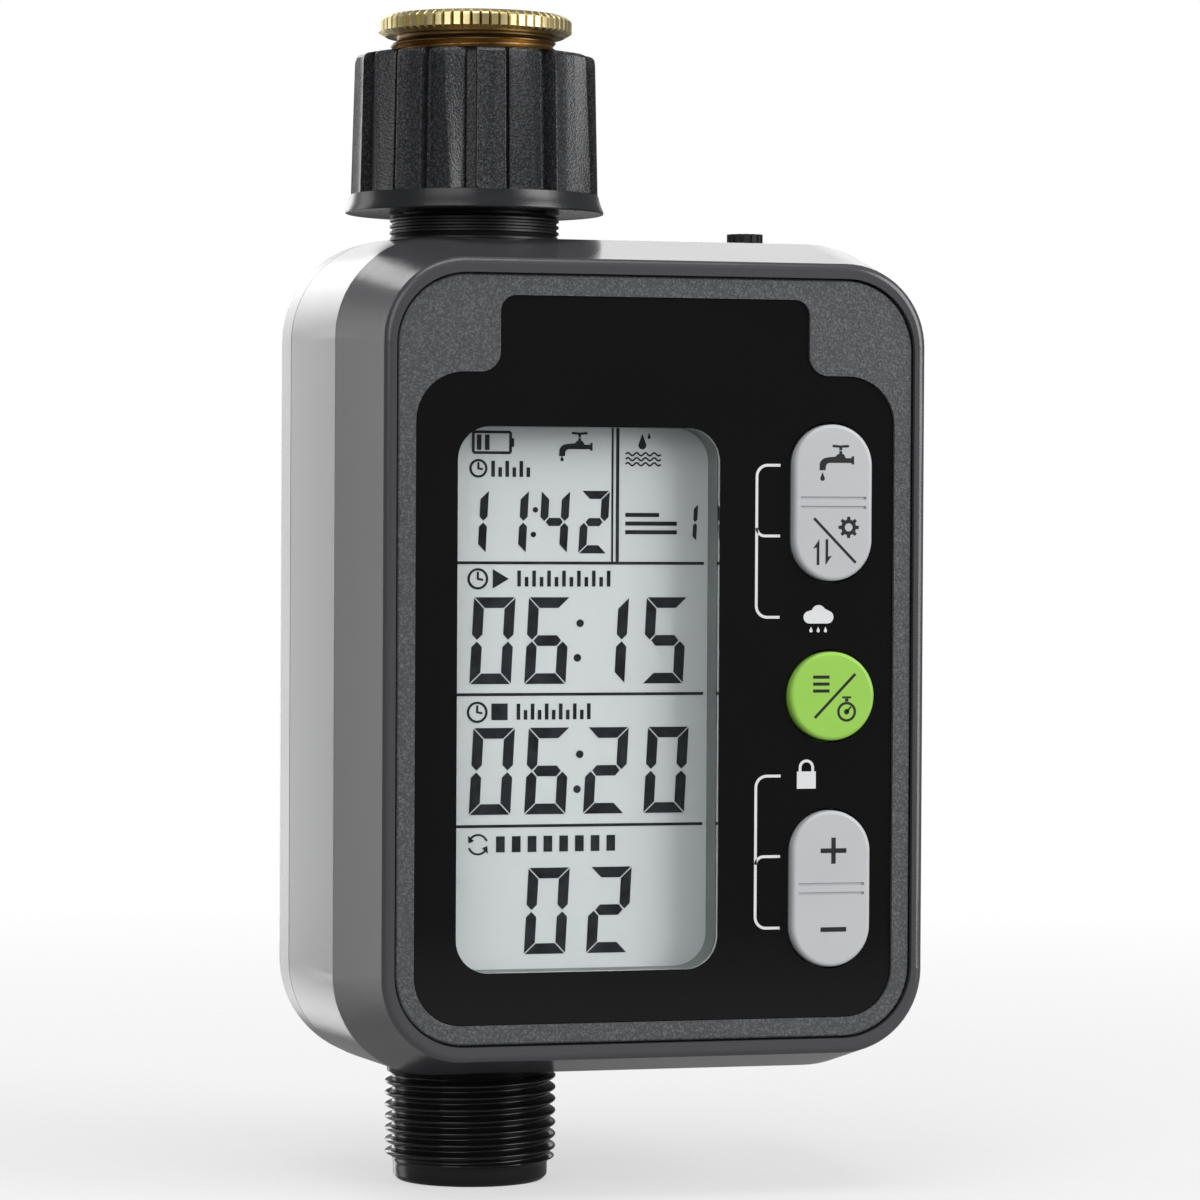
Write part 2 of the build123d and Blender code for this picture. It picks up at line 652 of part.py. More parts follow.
def valve_body():
    """Moulded valve housing with the outlet thread, stem boss and drive posts."""
    thread = ridges(OUTLET_THREAD_Z, OUTLET_TURNS, G34_PITCH, G34_MINOR_R, G34_MAJOR_R, THREAD_FLAT)
    profile = [
        (0, SOCKET_TOP_Z),
        (HOUSING_R, SOCKET_TOP_Z),
        (HOUSING_R, HOUSING_LOW_Z),
        (OUTLET_PIPE_R, HOUSING_LOW_Z - 5),
        (OUTLET_PIPE_R, SHOULDER_Z[1]),
        (SHOULDER_R, SHOULDER_Z[1]),
        (SHOULDER_R, SHOULDER_Z[0]),
        (G34_MAJOR_R - 0.3, SHOULDER_Z[0]),
        (G34_MAJOR_R - 0.3, -162.6),
        (G34_MINOR_R, -162.6),
    ]
    profile += thread
    profile += [
        (G34_MINOR_R, -176.3),
        (11.9, -176.6),
        (11.9, OUTLET_LOW_Z + 0.8),
        (11.1, OUTLET_LOW_Z),
        (0, OUTLET_LOW_Z),
    ]
    body = turned(profile)
    body += drum_x(6.5, 8.0, 17.5, 0, BALL_Z)
    for y, z in post_places():
        body += drum_x(POST_R, 5.0, PLATE_X[0], y, z)
        body -= drum_x(PILOT_R, 16.0, PLATE_X[0], y, z)
    body -= drum(SPIGOT_R + 0.1, BALL_Z - 11.0, SOCKET_TOP_Z + 1)
    body -= drum(FLOW_R, OUTLET_LOW_Z - 1, BALL_Z - 10)
    body -= drum_x(4.1, 0, 12.7, 0, BALL_Z)
    body -= drum_x(STEM_R + 0.05, 0, 18, 0, BALL_Z)
    return body - clip_legs(1.25)


def post_places():
    """Centres of the four posts that carry the drive plate."""
    return [(y, BALL_Z + dz) for y in (-POST_Y, POST_Y) for dz in (-POST_DROP, POST_DROP)]


def outlet_seal():
    """Flat ring between the valve body's shoulder and the case's bottom wall."""
    return drum(SHOULDER_R - 0.2, -158.7, SHOULDER_Z[0] - 0.02) - drum(G34_MAJOR_R - 0.25, -160, -157)


def valve_ball():
    """Bored ball, closed at rest, turned by the stem's tongue."""
    ball = Pos(0, 0, BALL_Z) * Sphere(BALL_R)
    ball -= drum_y(BALL_BORE_R, -12, 12, 0, BALL_Z)
    return ball - slab((9.0, 11), (-4, 4), (BALL_Z - 1.05, BALL_Z + 1.05))


def ball_seats():
    """Two seat rings, above and below the ball."""
    clearance = Pos(0, 0, BALL_Z) * Sphere(BALL_R + RUNNING_FIT)
    upper = drum(12.05, BALL_Z + 7.2, SPIGOT_LOW_Z - 0.02) - drum(FLOW_R, -90, -60) - clearance
    lower = drum(12.05, BALL_Z - 10.98, BALL_Z - 7.2) - drum(FLOW_R, -100, -80) - clearance
    return [upper, lower]


def valve_stem():
    """Stem from the ball out through the side boss to the drive gear."""
    stem = drum_x(STEM_R, 12.4, 18.0, 0, BALL_Z) + drum_x(3.9, 10.75, 12.5, 0, BALL_Z)
    stem += slab((9.1, 11), (-3.2, 3.2), (BALL_Z - 1, BALL_Z + 1))
    stem += drum_x(2.6, 17.9, 31.5, 0, BALL_Z)
    stem -= slab((18.2, 32), (-3, 3), (BALL_Z + 2.0, BALL_Z + 4))
    for x in (13.6, 15.9):
        stem -= drum_x(4, x, x + 1.2, 0, BALL_Z) - drum_x(2.1, x, x + 1.2, 0, BALL_Z)
    return stem


def stem_orings():
    """Two small rings in the stem's grooves."""
    return [
        drum_x(STEM_R + 0.03, x + 0.05, x + 1.15, 0, BALL_Z) - drum_x(2.12, x, x + 1.2, 0, BALL_Z)
        for x in (13.6, 15.9)
    ]


def stem_hole(x_low, x_high):
    """D-shaped hole that fits the stem's outer end."""
    hole = drum_x(2.62, x_low, x_high, 0, BALL_Z)
    return hole - slab((x_low, x_high), (-3, 3), (BALL_Z + 2.02, BALL_Z + 4))


# ---------------------------------------------------------------- drive train


def gear_outline(teeth):
    """Involute spur gear outline with one tooth centred on the drawing's X axis."""
    pressure = radians(20)
    pitch_r = GEAR_MODULE * teeth / 2
    base_r = pitch_r * cos(pressure)
    root_r = pitch_r - 1.2 * GEAR_MODULE
    tip_r = pitch_r + 0.9 * GEAR_MODULE
    backlash = 0.12
    half_pitch = pi / (2 * teeth) - backlash / pitch_r + tan(pressure) - pressure
    steps = 4
    flank = [(root_r - 0.3, half_pitch)]
    for step in range(steps + 1):
        radius = max(base_r, root_r) + (tip_r - max(base_r, root_r)) * step / steps
        roll = acos(min(1.0, base_r / radius))
        flank.append((radius, half_pitch - (tan(roll) - roll)))
    upper = [(r * cos(a), r * sin(a)) for r, a in flank]
    lower = [(x, -y) for x, y in reversed(upper)]
    tooth = make_face(Polyline(upper + lower, close=True))
    outline = Circle(root_r)
    for place in PolarLocations(0, teeth):
        outline += place * tooth
    return outline


def gear_along_x(teeth, x_span, z, turn):
    """Gear lying across the X axis, its first tooth turned from straight up."""
    plane = Plane(origin=(x_span[0], 0, z), x_dir=(0, 0, 1), z_dir=(1, 0, 0))
    return extrude(plane * Rot(0, 0, turn) * gear_outline(teeth), amount=x_span[1] - x_span[0])


def stem_gear():
    """Large gear on the stem, with a tooth gap facing the pinion."""
    gear = gear_along_x(GEAR_TEETH, GEAR_X, BALL_Z, 180 / GEAR_TEETH)
    gear += drum_x(5.5, 18.3, 24.4, 0, BALL_Z)
    return gear - stem_hole(18.2, 25)


def stem_cam():
    """Cam on the stem's outer end that works the two position switches."""
    cam = drum_x(5.0, 28.2, 31.2, 0, BALL_Z)
    cam += slab((28.2, 31.2), (-1.5, 1.5), (BALL_Z - 6.8, BALL_Z))
    return cam - stem_hole(28, 31.5)


def drive_pinion():
    """Small gear on the motor gearbox's shaft, meshing with the stem gear."""
    pinion = gear_along_x(PINION_TEETH, GEAR_X, PINION_Z, 0)
    return pinion + drum_x(2.0, 18.2, 26.6, 0, PINION_Z)


def drive_plate():
    """Metal plate that carries the motor gearbox and steadies the stem."""
    plate_z = (BALL_Z - 18.0, -53.0)
    plane = Plane(origin=(PLATE_X[0], 0, sum(plate_z) / 2), x_dir=(0, 1, 0), z_dir=(1, 0, 0))
    sketch = plane * RectangleRounded(30.4, plate_z[1] - plate_z[0], 3)
    plate = extrude(sketch, amount=PLATE_X[1] - PLATE_X[0])
    plate -= drum_x(2.66, 24, 28, 0, BALL_Z)
    plate -= drum_x(2.4, 24, 28, 0, PINION_Z)
    for y, z in post_places():
        plate -= drum_x(1.3, 24, 28, y, z)
    return plate


def drive_screws():
    """Four screws through the drive plate into the valve body's posts."""
    return [
        drum_x(1.0, 17.0, PLATE_X[1] + 0.05, y, z) + drum_x(2.1, PLATE_X[1], PLATE_X[1] + 1.4, y, z)
        for y, z in post_places()
    ]


def gearbox():
    """Round reduction gearbox with a blind hole for the pinion's shaft."""
    box = drum_x(GEARBOX_R, *GEARBOX_X, 0, PINION_Z)
    return box - drum_x(2.4, GEARBOX_X[0] - 1, GEARBOX_X[0] + 1, 0, PINION_Z)


def motor():
    """Small direct-current motor behind the gearbox."""
    can = drum_x(MOTOR_R, *MOTOR_X, 0, PINION_Z)
    flats = slab((MOTOR_X[0], MOTOR_X[1]), (-20, -6.2), (-80, -40))
    flats += slab((MOTOR_X[0], MOTOR_X[1]), (6.2, 20), (-80, -40))
    return can - flats + drum_x(2.5, MOTOR_X[1] - 0.1, MOTOR_X[1] + 1.2, 0, PINION_Z)


def limit_switches():
    """Two position switches that the cam's lobe reaches open and closed."""
    lower = slab((27.4, 33.2), (-6.0, 6.0), (-98.0, -91.0))
    side = slab((27.4, 33.2), (9.0, 15.0), (-90.0, -78.0))
    return [
        lower + slab((29.0, 30.4), (-1.5, 1.5), (-91.1, -89.6)),
        side + slab((29.0, 30.4), (7.6, 9.1), (-83.5, -80.5)),
    ]


# ---------------------------------------------------------------- battery bay


def battery_bay():
    """Open-bottomed box that the battery drawer slides into."""
    wide, deep = BAY_OUTER
    z_low, z_high = BAY_Z
    bay = flat_rounded(DRAWER_X, DRAWER_Y, wide, deep, 2.5, z_low, z_high)
    for x in bay_lug_places():
        lug_y = (DRAWER_Y + deep / 2 - 2.0, DRAWER_Y + deep / 2)
        bay += slab((min(x, DRAWER_X), max(x, DRAWER_X)), lug_y, (LUG_Z - POST_R, LUG_Z + POST_R))
        bay += drum_y(POST_R, *lug_y, x, LUG_Z)
    inner_w, inner_d = wide - 2 * BAY_WALL, deep - 2 * BAY_WALL
    bay -= flat_rounded(DRAWER_X, DRAWER_Y, inner_w, inner_d, 1.0, z_low - 1, z_high - BAY_WALL)
    for x in bay_lug_places():
        bay -= drum_y(1.3, 0, 20, x, LUG_Z)
    return bay


def bay_lug_places():
    """X of the two fixing lugs at the top of the battery bay."""
    return (DRAWER_X - BAY_OUTER[0] / 2 - 2.9, DRAWER_X + BAY_OUTER[0] / 2 + 2.9)


def bay_screws():
    """Two screws that hold the bay to the rear cover's posts."""
    head_y = DRAWER_Y + BAY_OUTER[1] / 2 - 2.0
    return [
        drum_y(1.0, head_y - 0.05, head_y + 8.0, x, LUG_Z) + drum_y(2.0, head_y - 1.4, head_y, x, LUG_Z)
        for x in bay_lug_places()
    ]


def cell_places():
    """X of the two cells in the drawer."""
    return (DRAWER_X - CELL_R - 0.06, DRAWER_X + CELL_R + 0.06)


def battery_drawer():
    """Pull-out drawer: cap with a finger grip and an open tray for two cells."""
    wide = 4 * CELL_R + 1.8
    y_low, y_high = DRAWER_Y - 8.9, DRAWER_Y + 8.9
    x_low, x_high = DRAWER_X - wide / 2, DRAWER_X + wide / 2
    tray = slab((x_low, x_high), (y_low, y_high), (CAP_Z[1] - 0.1, -103.4))
    inner = slab((x_low + 0.8, x_high - 0.8), (CELL_Y - CELL_R - 0.05, y_high + 1), (-157.4, -104.6))
    tray -= inner
    tray -= slab((x_low - 1, x_high + 1), (CELL_Y + 3.4, y_high + 1), (-152, -110))
    cap = flat_rounded(DRAWER_X, DRAWER_Y, *CAP_SIZE, 3.0, *CAP_Z)
    cap = fillet(cap.edges().filter_by_position(Axis.Z, CAP_Z[0] - 0.01, CAP_Z[0] + 0.01), 0.5)
    for y in (-6.2, 7.2):
        cap -= flat_rounded(DRAWER_X, y, 18.0, 5.0, 2.0, CAP_Z[0] - 1, CAP_Z[0] + 1.4)
    return tray + cap


def drawer_gasket():
    """Rubber ring on the drawer's neck that seals it against the bay."""
    z_span = (CAP_Z[1] + 0.02, BAY_Z[0] - 0.1)
    ring = flat_rounded(DRAWER_X, DRAWER_Y, CAP_SIZE[0] - 0.4, CAP_SIZE[1] - 0.4, 2.8, *z_span)
    return ring - flat_rounded(DRAWER_X, DRAWER_Y, 4 * CELL_R + 2.2, 18.2, 0.2, -160, -157)


def battery_cells():
    """Two AA cells, head to tail."""
    cells = []
    for x, head_up in zip(cell_places(), (True, False)):
        z_low, z_high = -156.1, -156.1 + CELL_LONG
        cell = drum(CELL_R, z_low, z_high, x, CELL_Y)
        nub = (z_high - 0.1, z_high + 0.8) if head_up else (z_low - 0.8, z_low + 0.1)
        cells.append(cell + drum(2.6, *nub, x, CELL_Y))
    return cells


def cell_contacts():
    """Contact plates at both ends of the drawer."""
    left, right = cell_places()
    bottom = slab((left - 4, right + 4), (-5, 4.5), (-157.35, -157.0))
    tops = [slab((x - 4, x + 4), (-5, 4.5), (-105.1, -104.65)) for x in (left, right)]
    return [bottom, *tops]


def bay_contacts():
    """Two brass blades on the bay's roof that meet the drawer's contacts."""
    blades = []
    for x in cell_places():
        roof = BAY_Z[1] - BAY_WALL
        blades.append(slab((x - 2, x + 2), (-5.0, 5.0), (roof - 0.4, roof - 0.02)))
    return blades


# ---------------------------------------------------------------- sensor socket and leads


def sensor_socket():
    """Socket for a rain sensor's plug, let into the top wall."""
    top = SENSOR_TOP_Z
    socket = drum(SENSOR_R, -47.0, top, SENSOR_X, 0) + drum(4.6, -39.0, -37.6, SENSOR_X, 0)
    socket += slab((SENSOR_X - 3, SENSOR_X + 3), (-4.0, 3), (-47.0, -40.0))
    return socket - drum(1.85, -45.5, top + 1, SENSOR_X, 0)


def sensor_plug():
    """Knurled rubber plug that closes the sensor socket."""
    low = SENSOR_TOP_Z + 0.05
    head = Circle(PLUG_R - 0.3)
    for place in PolarLocations(PLUG_R - 0.3, 14):
        head += place * Rectangle(0.6, 0.55)
    plug = extrude(Plane.XY.offset(low) * head, amount=1.35)
    plug = Pos(SENSOR_X, 0, 0) * plug
    return plug + drum(1.78, -43.5, low + 0.1, SENSOR_X, 0)


def lead(points):
    """Round lead along straight runs, each corner's arc as large as its two runs allow."""
    runs = [Vector(*b) - Vector(*a) for a, b in zip(points, points[1:])]
    bends = []
    for before, after in zip(runs, runs[1:]):
        half_turn = radians(before.get_angle(after)) / 2
        bends.append(0.45 * min(before.length, after.length) / tan(half_turn))
    path = FilletPolyline(*points, radius=bends)
    section = Plane(origin=points[0], z_dir=runs[0]) * Circle(LEAD_R)
    shape = sweep(section, path=path)
    share = shape.volume / (pi * LEAD_R**2 * path.length)
    print("lead bend radii", [round(bend, 1) for bend in bends], "volume share", round(share, 3))
    return shape


def motor_lead():
    """Lead from the motor to the board's header."""
    x, z = 50.0, PINION_Z
    return lead([(x, -6.2, z), (x, -8.9, z), (x, -13.1, z - 1.5), (x, HEADER_Y, z - 1.5)])


def battery_lead():
    """Lead from the bay's contacts to the board."""
    x, z = 50.0, -106.0
    bay_front = DRAWER_Y - BAY_OUTER[1] / 2
    return lead([(x, bay_front, z), (x, -12.9, z), (x, -16.6, z - 1.2), (x, BOARD_Y[1], z - 1.2)])


def sensor_lead():
    """Lead from the sensor socket to the board."""
    x, z = SENSOR_X, -46.0
    return lead([(x, -4.0, z), (x, -8.0, z), (x, -15.0, z - 6.5), (x, BOARD_Y[1], z - 6.5)])


# ---------------------------------------------------------------- writing the nodes

NODES = {
    "front_shell": front_shell,
    "rear_cover": rear_cover,
    "shell_gasket": shell_gasket,
    "case_screws": case_screws,
    "face_frame": face_frame,
    "display_panel": display_panel,
    "window_lens": window_lens,
    "lcd_surround": lcd_surround,
    "lcd_glass": lcd_glass,
    "zebra_strips": zebra_strips,
    "mode_key": round_key,
    "keypad_mat": keypad_mat,
    "main_board": main_board,
    "board_screws": board_screws,
    "tact_switches": tact_switches,
    "controller_chip": controller_chip,
    "board_parts": board_parts,
    "buzzer": buzzer,
    "brass_adapter": brass_adapter,
    "adapter_washer": adapter_washer,
    "swivel_nut": swivel_nut,
    "nut_retaining_ring": nut_retaining_ring,
    "inlet_washer": inlet_washer,
    "filter_screen": filter_screen,
    "inlet_spigot": inlet_spigot,
    "spigot_oring": spigot_oring,
    "neck_seal": neck_seal,
    "spigot_clip": spigot_clip,
    "valve_body": valve_body,
    "outlet_seal": outlet_seal,
    "valve_ball": valve_ball,
    "ball_seats": ball_seats,
    "valve_stem": valve_stem,
    "stem_orings": stem_orings,
    "stem_gear": stem_gear,
    "stem_cam": stem_cam,
    "drive_pinion": drive_pinion,
    "drive_plate": drive_plate,
    "drive_screws": drive_screws,
    "gearbox": gearbox,
    "motor": motor,
    "limit_switches": limit_switches,
    "battery_bay": battery_bay,
    "bay_screws": bay_screws,
    "bay_contacts": bay_contacts,
    "battery_drawer": battery_drawer,
    "drawer_gasket": drawer_gasket,
    "battery_cells": battery_cells,
    "cell_contacts": cell_contacts,
    "sensor_socket": sensor_socket,
    "sensor_plug": sensor_plug,
    "motor_lead": motor_lead,
    "battery_lead": battery_lead,
    "sensor_lead": sensor_lead,
}


def main():
    os.makedirs("parts", exist_ok=True)
    for name, make in NODES.items():
        save(name, make())
    save("upper_rocker_key", pill_key(UPPER_KEY_Z))
    save("lower_rocker_key", pill_key(LOWER_KEY_Z))


def save(name, shape):
    """Write one node, joining a list of separate solids into one file."""
    if isinstance(shape, list):
        shape = Compound(children=[solid for piece in shape for solid in piece.solids()])
    export_step(shape, f"parts/{name}.step")


main()
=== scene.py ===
# %% [markdown]
# # A drip irrigation timer
# This timer screws onto a tap. Water comes in at the brass adapter on top, passes a motor-driven
# ball valve inside the case, and leaves through the threaded outlet below. The engineering model
# already fixes where every part is. This lesson gives the parts their finish, and rebuilds the
# ones whose look depends on fine detail: threads, knurls, ribs, screws, a strainer and the prints.

# %% Load the engineering model
import math
import bmesh
import bpy
from mathutils import Matrix, Vector


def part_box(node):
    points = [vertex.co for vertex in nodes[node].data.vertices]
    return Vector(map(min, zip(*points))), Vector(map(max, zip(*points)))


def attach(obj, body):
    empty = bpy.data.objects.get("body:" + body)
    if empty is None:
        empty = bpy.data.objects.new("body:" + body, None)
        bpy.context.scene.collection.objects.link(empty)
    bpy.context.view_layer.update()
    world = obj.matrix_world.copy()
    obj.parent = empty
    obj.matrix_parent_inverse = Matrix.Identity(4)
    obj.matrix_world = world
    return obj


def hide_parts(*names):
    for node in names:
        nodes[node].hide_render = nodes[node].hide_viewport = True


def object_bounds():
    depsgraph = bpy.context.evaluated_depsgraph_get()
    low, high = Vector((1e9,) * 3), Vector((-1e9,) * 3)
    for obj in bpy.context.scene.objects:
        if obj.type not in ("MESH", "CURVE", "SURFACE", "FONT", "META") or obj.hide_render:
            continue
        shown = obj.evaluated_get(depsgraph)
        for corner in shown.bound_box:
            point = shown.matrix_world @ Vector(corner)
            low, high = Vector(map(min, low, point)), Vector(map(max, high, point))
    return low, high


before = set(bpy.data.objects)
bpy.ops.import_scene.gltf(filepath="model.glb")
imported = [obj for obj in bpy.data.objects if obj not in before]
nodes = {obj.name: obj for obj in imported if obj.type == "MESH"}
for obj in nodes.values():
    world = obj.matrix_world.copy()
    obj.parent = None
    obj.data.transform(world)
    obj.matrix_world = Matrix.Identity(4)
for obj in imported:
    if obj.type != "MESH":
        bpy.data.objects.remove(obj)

cad_low, cad_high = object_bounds()
MM = 0.001
print("nodes", len(nodes), "box", [round(v, 4) for v in cad_low], [round(v, 4) for v in cad_high])

# %% [markdown]
# ## Working helpers
# Node trees and new objects are made the same way all through, so short helpers do it: they set
# values on a node, add a node, wire a list of sockets, start a material, put a new object in the
# scene, and give a mesh smooth faces with sharp edges and its finish.

# %% Working helpers


def tune(node, **values):
    """Sets the named input values of a node; an underscore stands for a space."""
    for label, value in values.items():
        node.inputs[label.replace("_", " ")].default_value = value


def put(tree, kind, operation=None, **values):
    """Adds a node with its operation and input values."""
    node = tree.nodes.new(kind)
    if operation:
        node.operation = operation
    tune(node, **values)
    return node


def join(tree, *wires):
    """Wires sockets. Each wire: node, its output, node, its input."""
    for source, output, target, socket in wires:
        tree.links.new(source.outputs[output], target.inputs[socket])


def blank_material(name):
    """A new material and its tree and shader."""
    made = bpy.data.materials.new(name)
    made.use_nodes = True
    return made, made.node_tree, made.node_tree.nodes["Principled BSDF"]


def add_object(name, data):
    """A new object in the scene that holds data."""
    made = bpy.data.objects.new(name, data)
    bpy.context.scene.collection.objects.link(made)
    return made


def shade(mesh, sharp, finish=None):
    """Smooth faces, edges sharp past an angle in degrees, and a finish."""
    mesh.polygons.foreach_set("use_smooth", [True] * len(mesh.polygons))
    mesh.set_sharp_from_angle(angle=math.radians(sharp))
    if finish:
        mesh.materials.append(finish)


# %% [markdown]
# ## The camera
# A long lens from slightly left of the front keeps the sides nearly parallel, as in a catalogue
# picture. The three axes are built by hand so that the small roll of a hand-held camera can be
# added, instead of tracking an empty, which can't roll.

# %% Place the camera
CAMERA_PLACE = Vector((-0.189, -0.7306, -0.0762))
CAMERA_YAW = math.radians(16.0)
CAMERA_PITCH = math.radians(1.031)
CAMERA_ROLL = math.radians(0.298)
FOCAL_LENGTH, SENSOR_WIDTH = 146.46, 36.0


def camera_axes():
    """Right, up and forward directions of the camera."""
    sin_yaw, cos_yaw, cos_pitch = math.sin(CAMERA_YAW), math.cos(CAMERA_YAW), math.cos(CAMERA_PITCH)
    ahead = Vector((sin_yaw * cos_pitch, cos_yaw * cos_pitch, -math.sin(CAMERA_PITCH)))
    level = Vector((cos_yaw, -sin_yaw, 0.0))
    upward = level.cross(ahead)
    right = level * math.cos(CAMERA_ROLL) + upward * math.sin(CAMERA_ROLL)
    up = upward * math.cos(CAMERA_ROLL) - level * math.sin(CAMERA_ROLL)
    return right, up, ahead


lens = bpy.data.cameras.new("studio_camera")
lens.lens, lens.sensor_width = FOCAL_LENGTH, SENSOR_WIDTH
lens.clip_start, lens.clip_end = 0.01, 50.0
camera = add_object("studio_camera", lens)
right, up, ahead = camera_axes()
camera.matrix_world = Matrix.Translation(CAMERA_PLACE) @ Matrix((right, up, -ahead)).transposed().to_4x4()
bpy.context.scene.camera = camera
bpy.context.scene.view_settings.view_transform = "Standard"
print("camera at", [round(v, 3) for v in CAMERA_PLACE])

# %% [markdown]
# ## Studio light
# Glossy black plastic shows whatever is in front of it, so the front of the studio stays dark and
# the light comes from large soft panels at the sides, behind and above. The world is white only
# for rays that go straight from the camera, which gives the clean paper-white surround without
# flooding the model with light.

# %% Build the world and the light panels
WORLD_GLOW = 0.16


def build_world():
    """White for the camera, dim for every other ray."""
    world = bpy.data.worlds.new("studio_world")
    bpy.context.scene.world = world
    world.use_nodes = True
    tree = world.node_tree
    tree.nodes.clear()
    out = put(tree, "ShaderNodeOutputWorld")
    mix = put(tree, "ShaderNodeMixShader")
    path = put(tree, "ShaderNodeLightPath")
    dim = put(tree, "ShaderNodeBackground", Color=(1.0, 1.0, 1.0, 1.0), Strength=WORLD_GLOW)
    paper = put(tree, "ShaderNodeBackground", Color=(1.0, 1.0, 1.0, 1.0), Strength=1.0)
    join(tree, (path, "Is Camera Ray", mix, 0), (dim, 0, mix, 1), (paper, 0, mix, 2), (mix, 0, out, "Surface"))


def light_panel(name, place, size, power):
    """A rectangular soft light at place, facing the middle of the object."""
    data = bpy.data.lights.new(name, "AREA")
    data.shape = "RECTANGLE"
    data.size, data.size_y = size
    data.energy = power
    lamp = add_object(name, data)
    lamp.location = place
    lamp.visible_camera = False
    lamp.rotation_euler = (MIDDLE - Vector(place)).to_track_quat("-Z", "Y").to_euler()


build_world()
MIDDLE = Vector((0.015, 0.0, -0.09))
for panel in (("front_left", (-0.80, -1.00, 0.45), (0.9, 0.9), 5.5),
              ("front_right", (1.00, -0.80, 0.30), (0.7, 1.0), 12.5),
              ("top_sheet", (-0.10, -0.30, 1.05), (0.9, 0.7), 6.0),
              ("rear_left_glow", (-0.18, 1.17, 0.00), (0.34, 1.1), 3.4),
              ("corner_glow", (-0.27, 1.02, 0.58), (0.25, 0.25), 0.35),
              ("side_left_glow", (-0.80, 0.89, 0.00), (0.40, 1.4), 2.7),
              ("rear_high_glow", (0.28, 1.12, 0.34), (0.8, 0.46), 1.9)):
    light_panel(*panel)

# %% [markdown]
# ## Floor
# The timer stands on its outlet on a pale board. Far away the board turns transparent, so it
# melts into the white surround with no horizon line.

# %% Lay the floor
FLOOR_REACH, FADE_START, FADE_END = 3.0, 0.12, 0.55


def floor_material():
    """Pale matt board that fades out with distance, and is seen only from above."""
    made, tree, skin = blank_material("floor_board")
    place = put(tree, "ShaderNodeTexCoord")
    away = put(tree, "ShaderNodeVectorMath", "LENGTH")
    fade = put(tree, "ShaderNodeMapRange", From_Min=FADE_START, From_Max=FADE_END, To_Min=0.5, To_Max=0.0)
    side = put(tree, "ShaderNodeNewGeometry")
    from_above = put(tree, "ShaderNodeMapRange", To_Min=1.0, To_Max=0.0)
    seen = put(tree, "ShaderNodeMath", "MULTIPLY")
    fibres = put(tree, "ShaderNodeTexNoise", Scale=900.0)
    tint = put(tree, "ShaderNodeValToRGB")
    tint.color_ramp.elements[0].color = (0.80, 0.80, 0.81, 1.0)
    tint.color_ramp.elements[1].color = (0.86, 0.86, 0.86, 1.0)
    join(tree, (place, "Object", away, 0), (away, "Value", fade, "Value"),
         (side, "Backfacing", from_above, "Value"), (fade, "Result", seen, 0), (from_above, "Result", seen, 1),
         (seen, 0, skin, "Alpha"), (place, "Object", fibres, "Vector"), (fibres, "Fac", tint, "Fac"),
         (tint, "Color", skin, "Base Color"))
    tune(skin, Roughness=0.85, Specular_IOR_Level=0.2)
    return made


def lay_floor(height):
    """One large square at the given height."""
    mesh = bpy.data.meshes.new("floor")
    r = FLOOR_REACH
    mesh.from_pydata([(-r, -r, height), (r, -r, height), (r, r, height), (-r, r, height)], [], [(0, 1, 2, 3)])
    mesh.materials.append(floor_material())
    add_object("floor", mesh)


lay_floor(cad_low.z - 0.02 * MM)
print("floor height", round(cad_low.z, 4))

# %% [markdown]
# ## Shared finishes
# Four effects come back in many materials, so each is one node group with named sockets:
# the fine texture that spark erosion leaves on a mould, slow drifts of tone and gloss, the fine
# rings of turned metal, and edges polished by handling. A group gives only colours, masks and
# heights. Gloss itself stays in each material's own shader.

# %% Node group helpers


def shader_group(name, inputs, outputs):
    """An empty shader group with its sockets. inputs: (label, kind, value)."""
    group = bpy.data.node_groups.new(name, "ShaderNodeTree")
    for label, kind, value in inputs:
        socket = group.interface.new_socket(name=label, in_out="INPUT", socket_type=kind)
        socket.default_value = value
    for label, kind in outputs:
        group.interface.new_socket(name=label, in_out="OUTPUT", socket_type=kind)
    return group, group.nodes.new("NodeGroupInput"), group.nodes.new("NodeGroupOutput")


def per_millimetre(tree, start, label):
    """Node that turns a size input of the group, in millimetres, into a texture scale."""
    scale = put(tree, "ShaderNodeMath", "DIVIDE")
    scale.inputs[0].default_value = 1.0 / MM
    join(tree, (start, label, scale, 1))
    return scale


# %% Mould texture group


def mould_texture_group():
    """Grain and pits of a spark-eroded mould, as a height, and a mask of the highest grains for a painted glint."""
    group, start, end = shader_group(
        "Mould Texture",
        [("Grain Size", "NodeSocketFloat", 0.35), ("Pit Share", "NodeSocketFloat", 0.4)],
        [("Height", "NodeSocketFloat"), ("Painted Glint", "NodeSocketFloat")],
    )
    place = put(group, "ShaderNodeTexCoord")
    scale = per_millimetre(group, start, "Grain Size")
    grain = put(group, "ShaderNodeTexNoise", Detail=2.0, Roughness=0.65)
    pits = put(group, "ShaderNodeTexVoronoi")
    both = put(group, "ShaderNodeMix")
    # Grain peaks: the mask where a painted glint goes.
    peaks = put(group, "ShaderNodeMapRange", From_Min=0.46, From_Max=0.72)
    for texture in (grain, pits):
        join(group, (place, "Object", texture, "Vector"), (scale, 0, texture, "Scale"))
    join(group, (start, "Pit Share", both, 0), (grain, "Fac", both, 2), (pits, "Distance", both, 3),
         (both, 0, end, "Height"), (grain, "Fac", peaks, "Value"), (peaks, "Result", end, "Painted Glint"))
    return group


MOULD_TEXTURE = mould_texture_group()

# %% Tone drift group


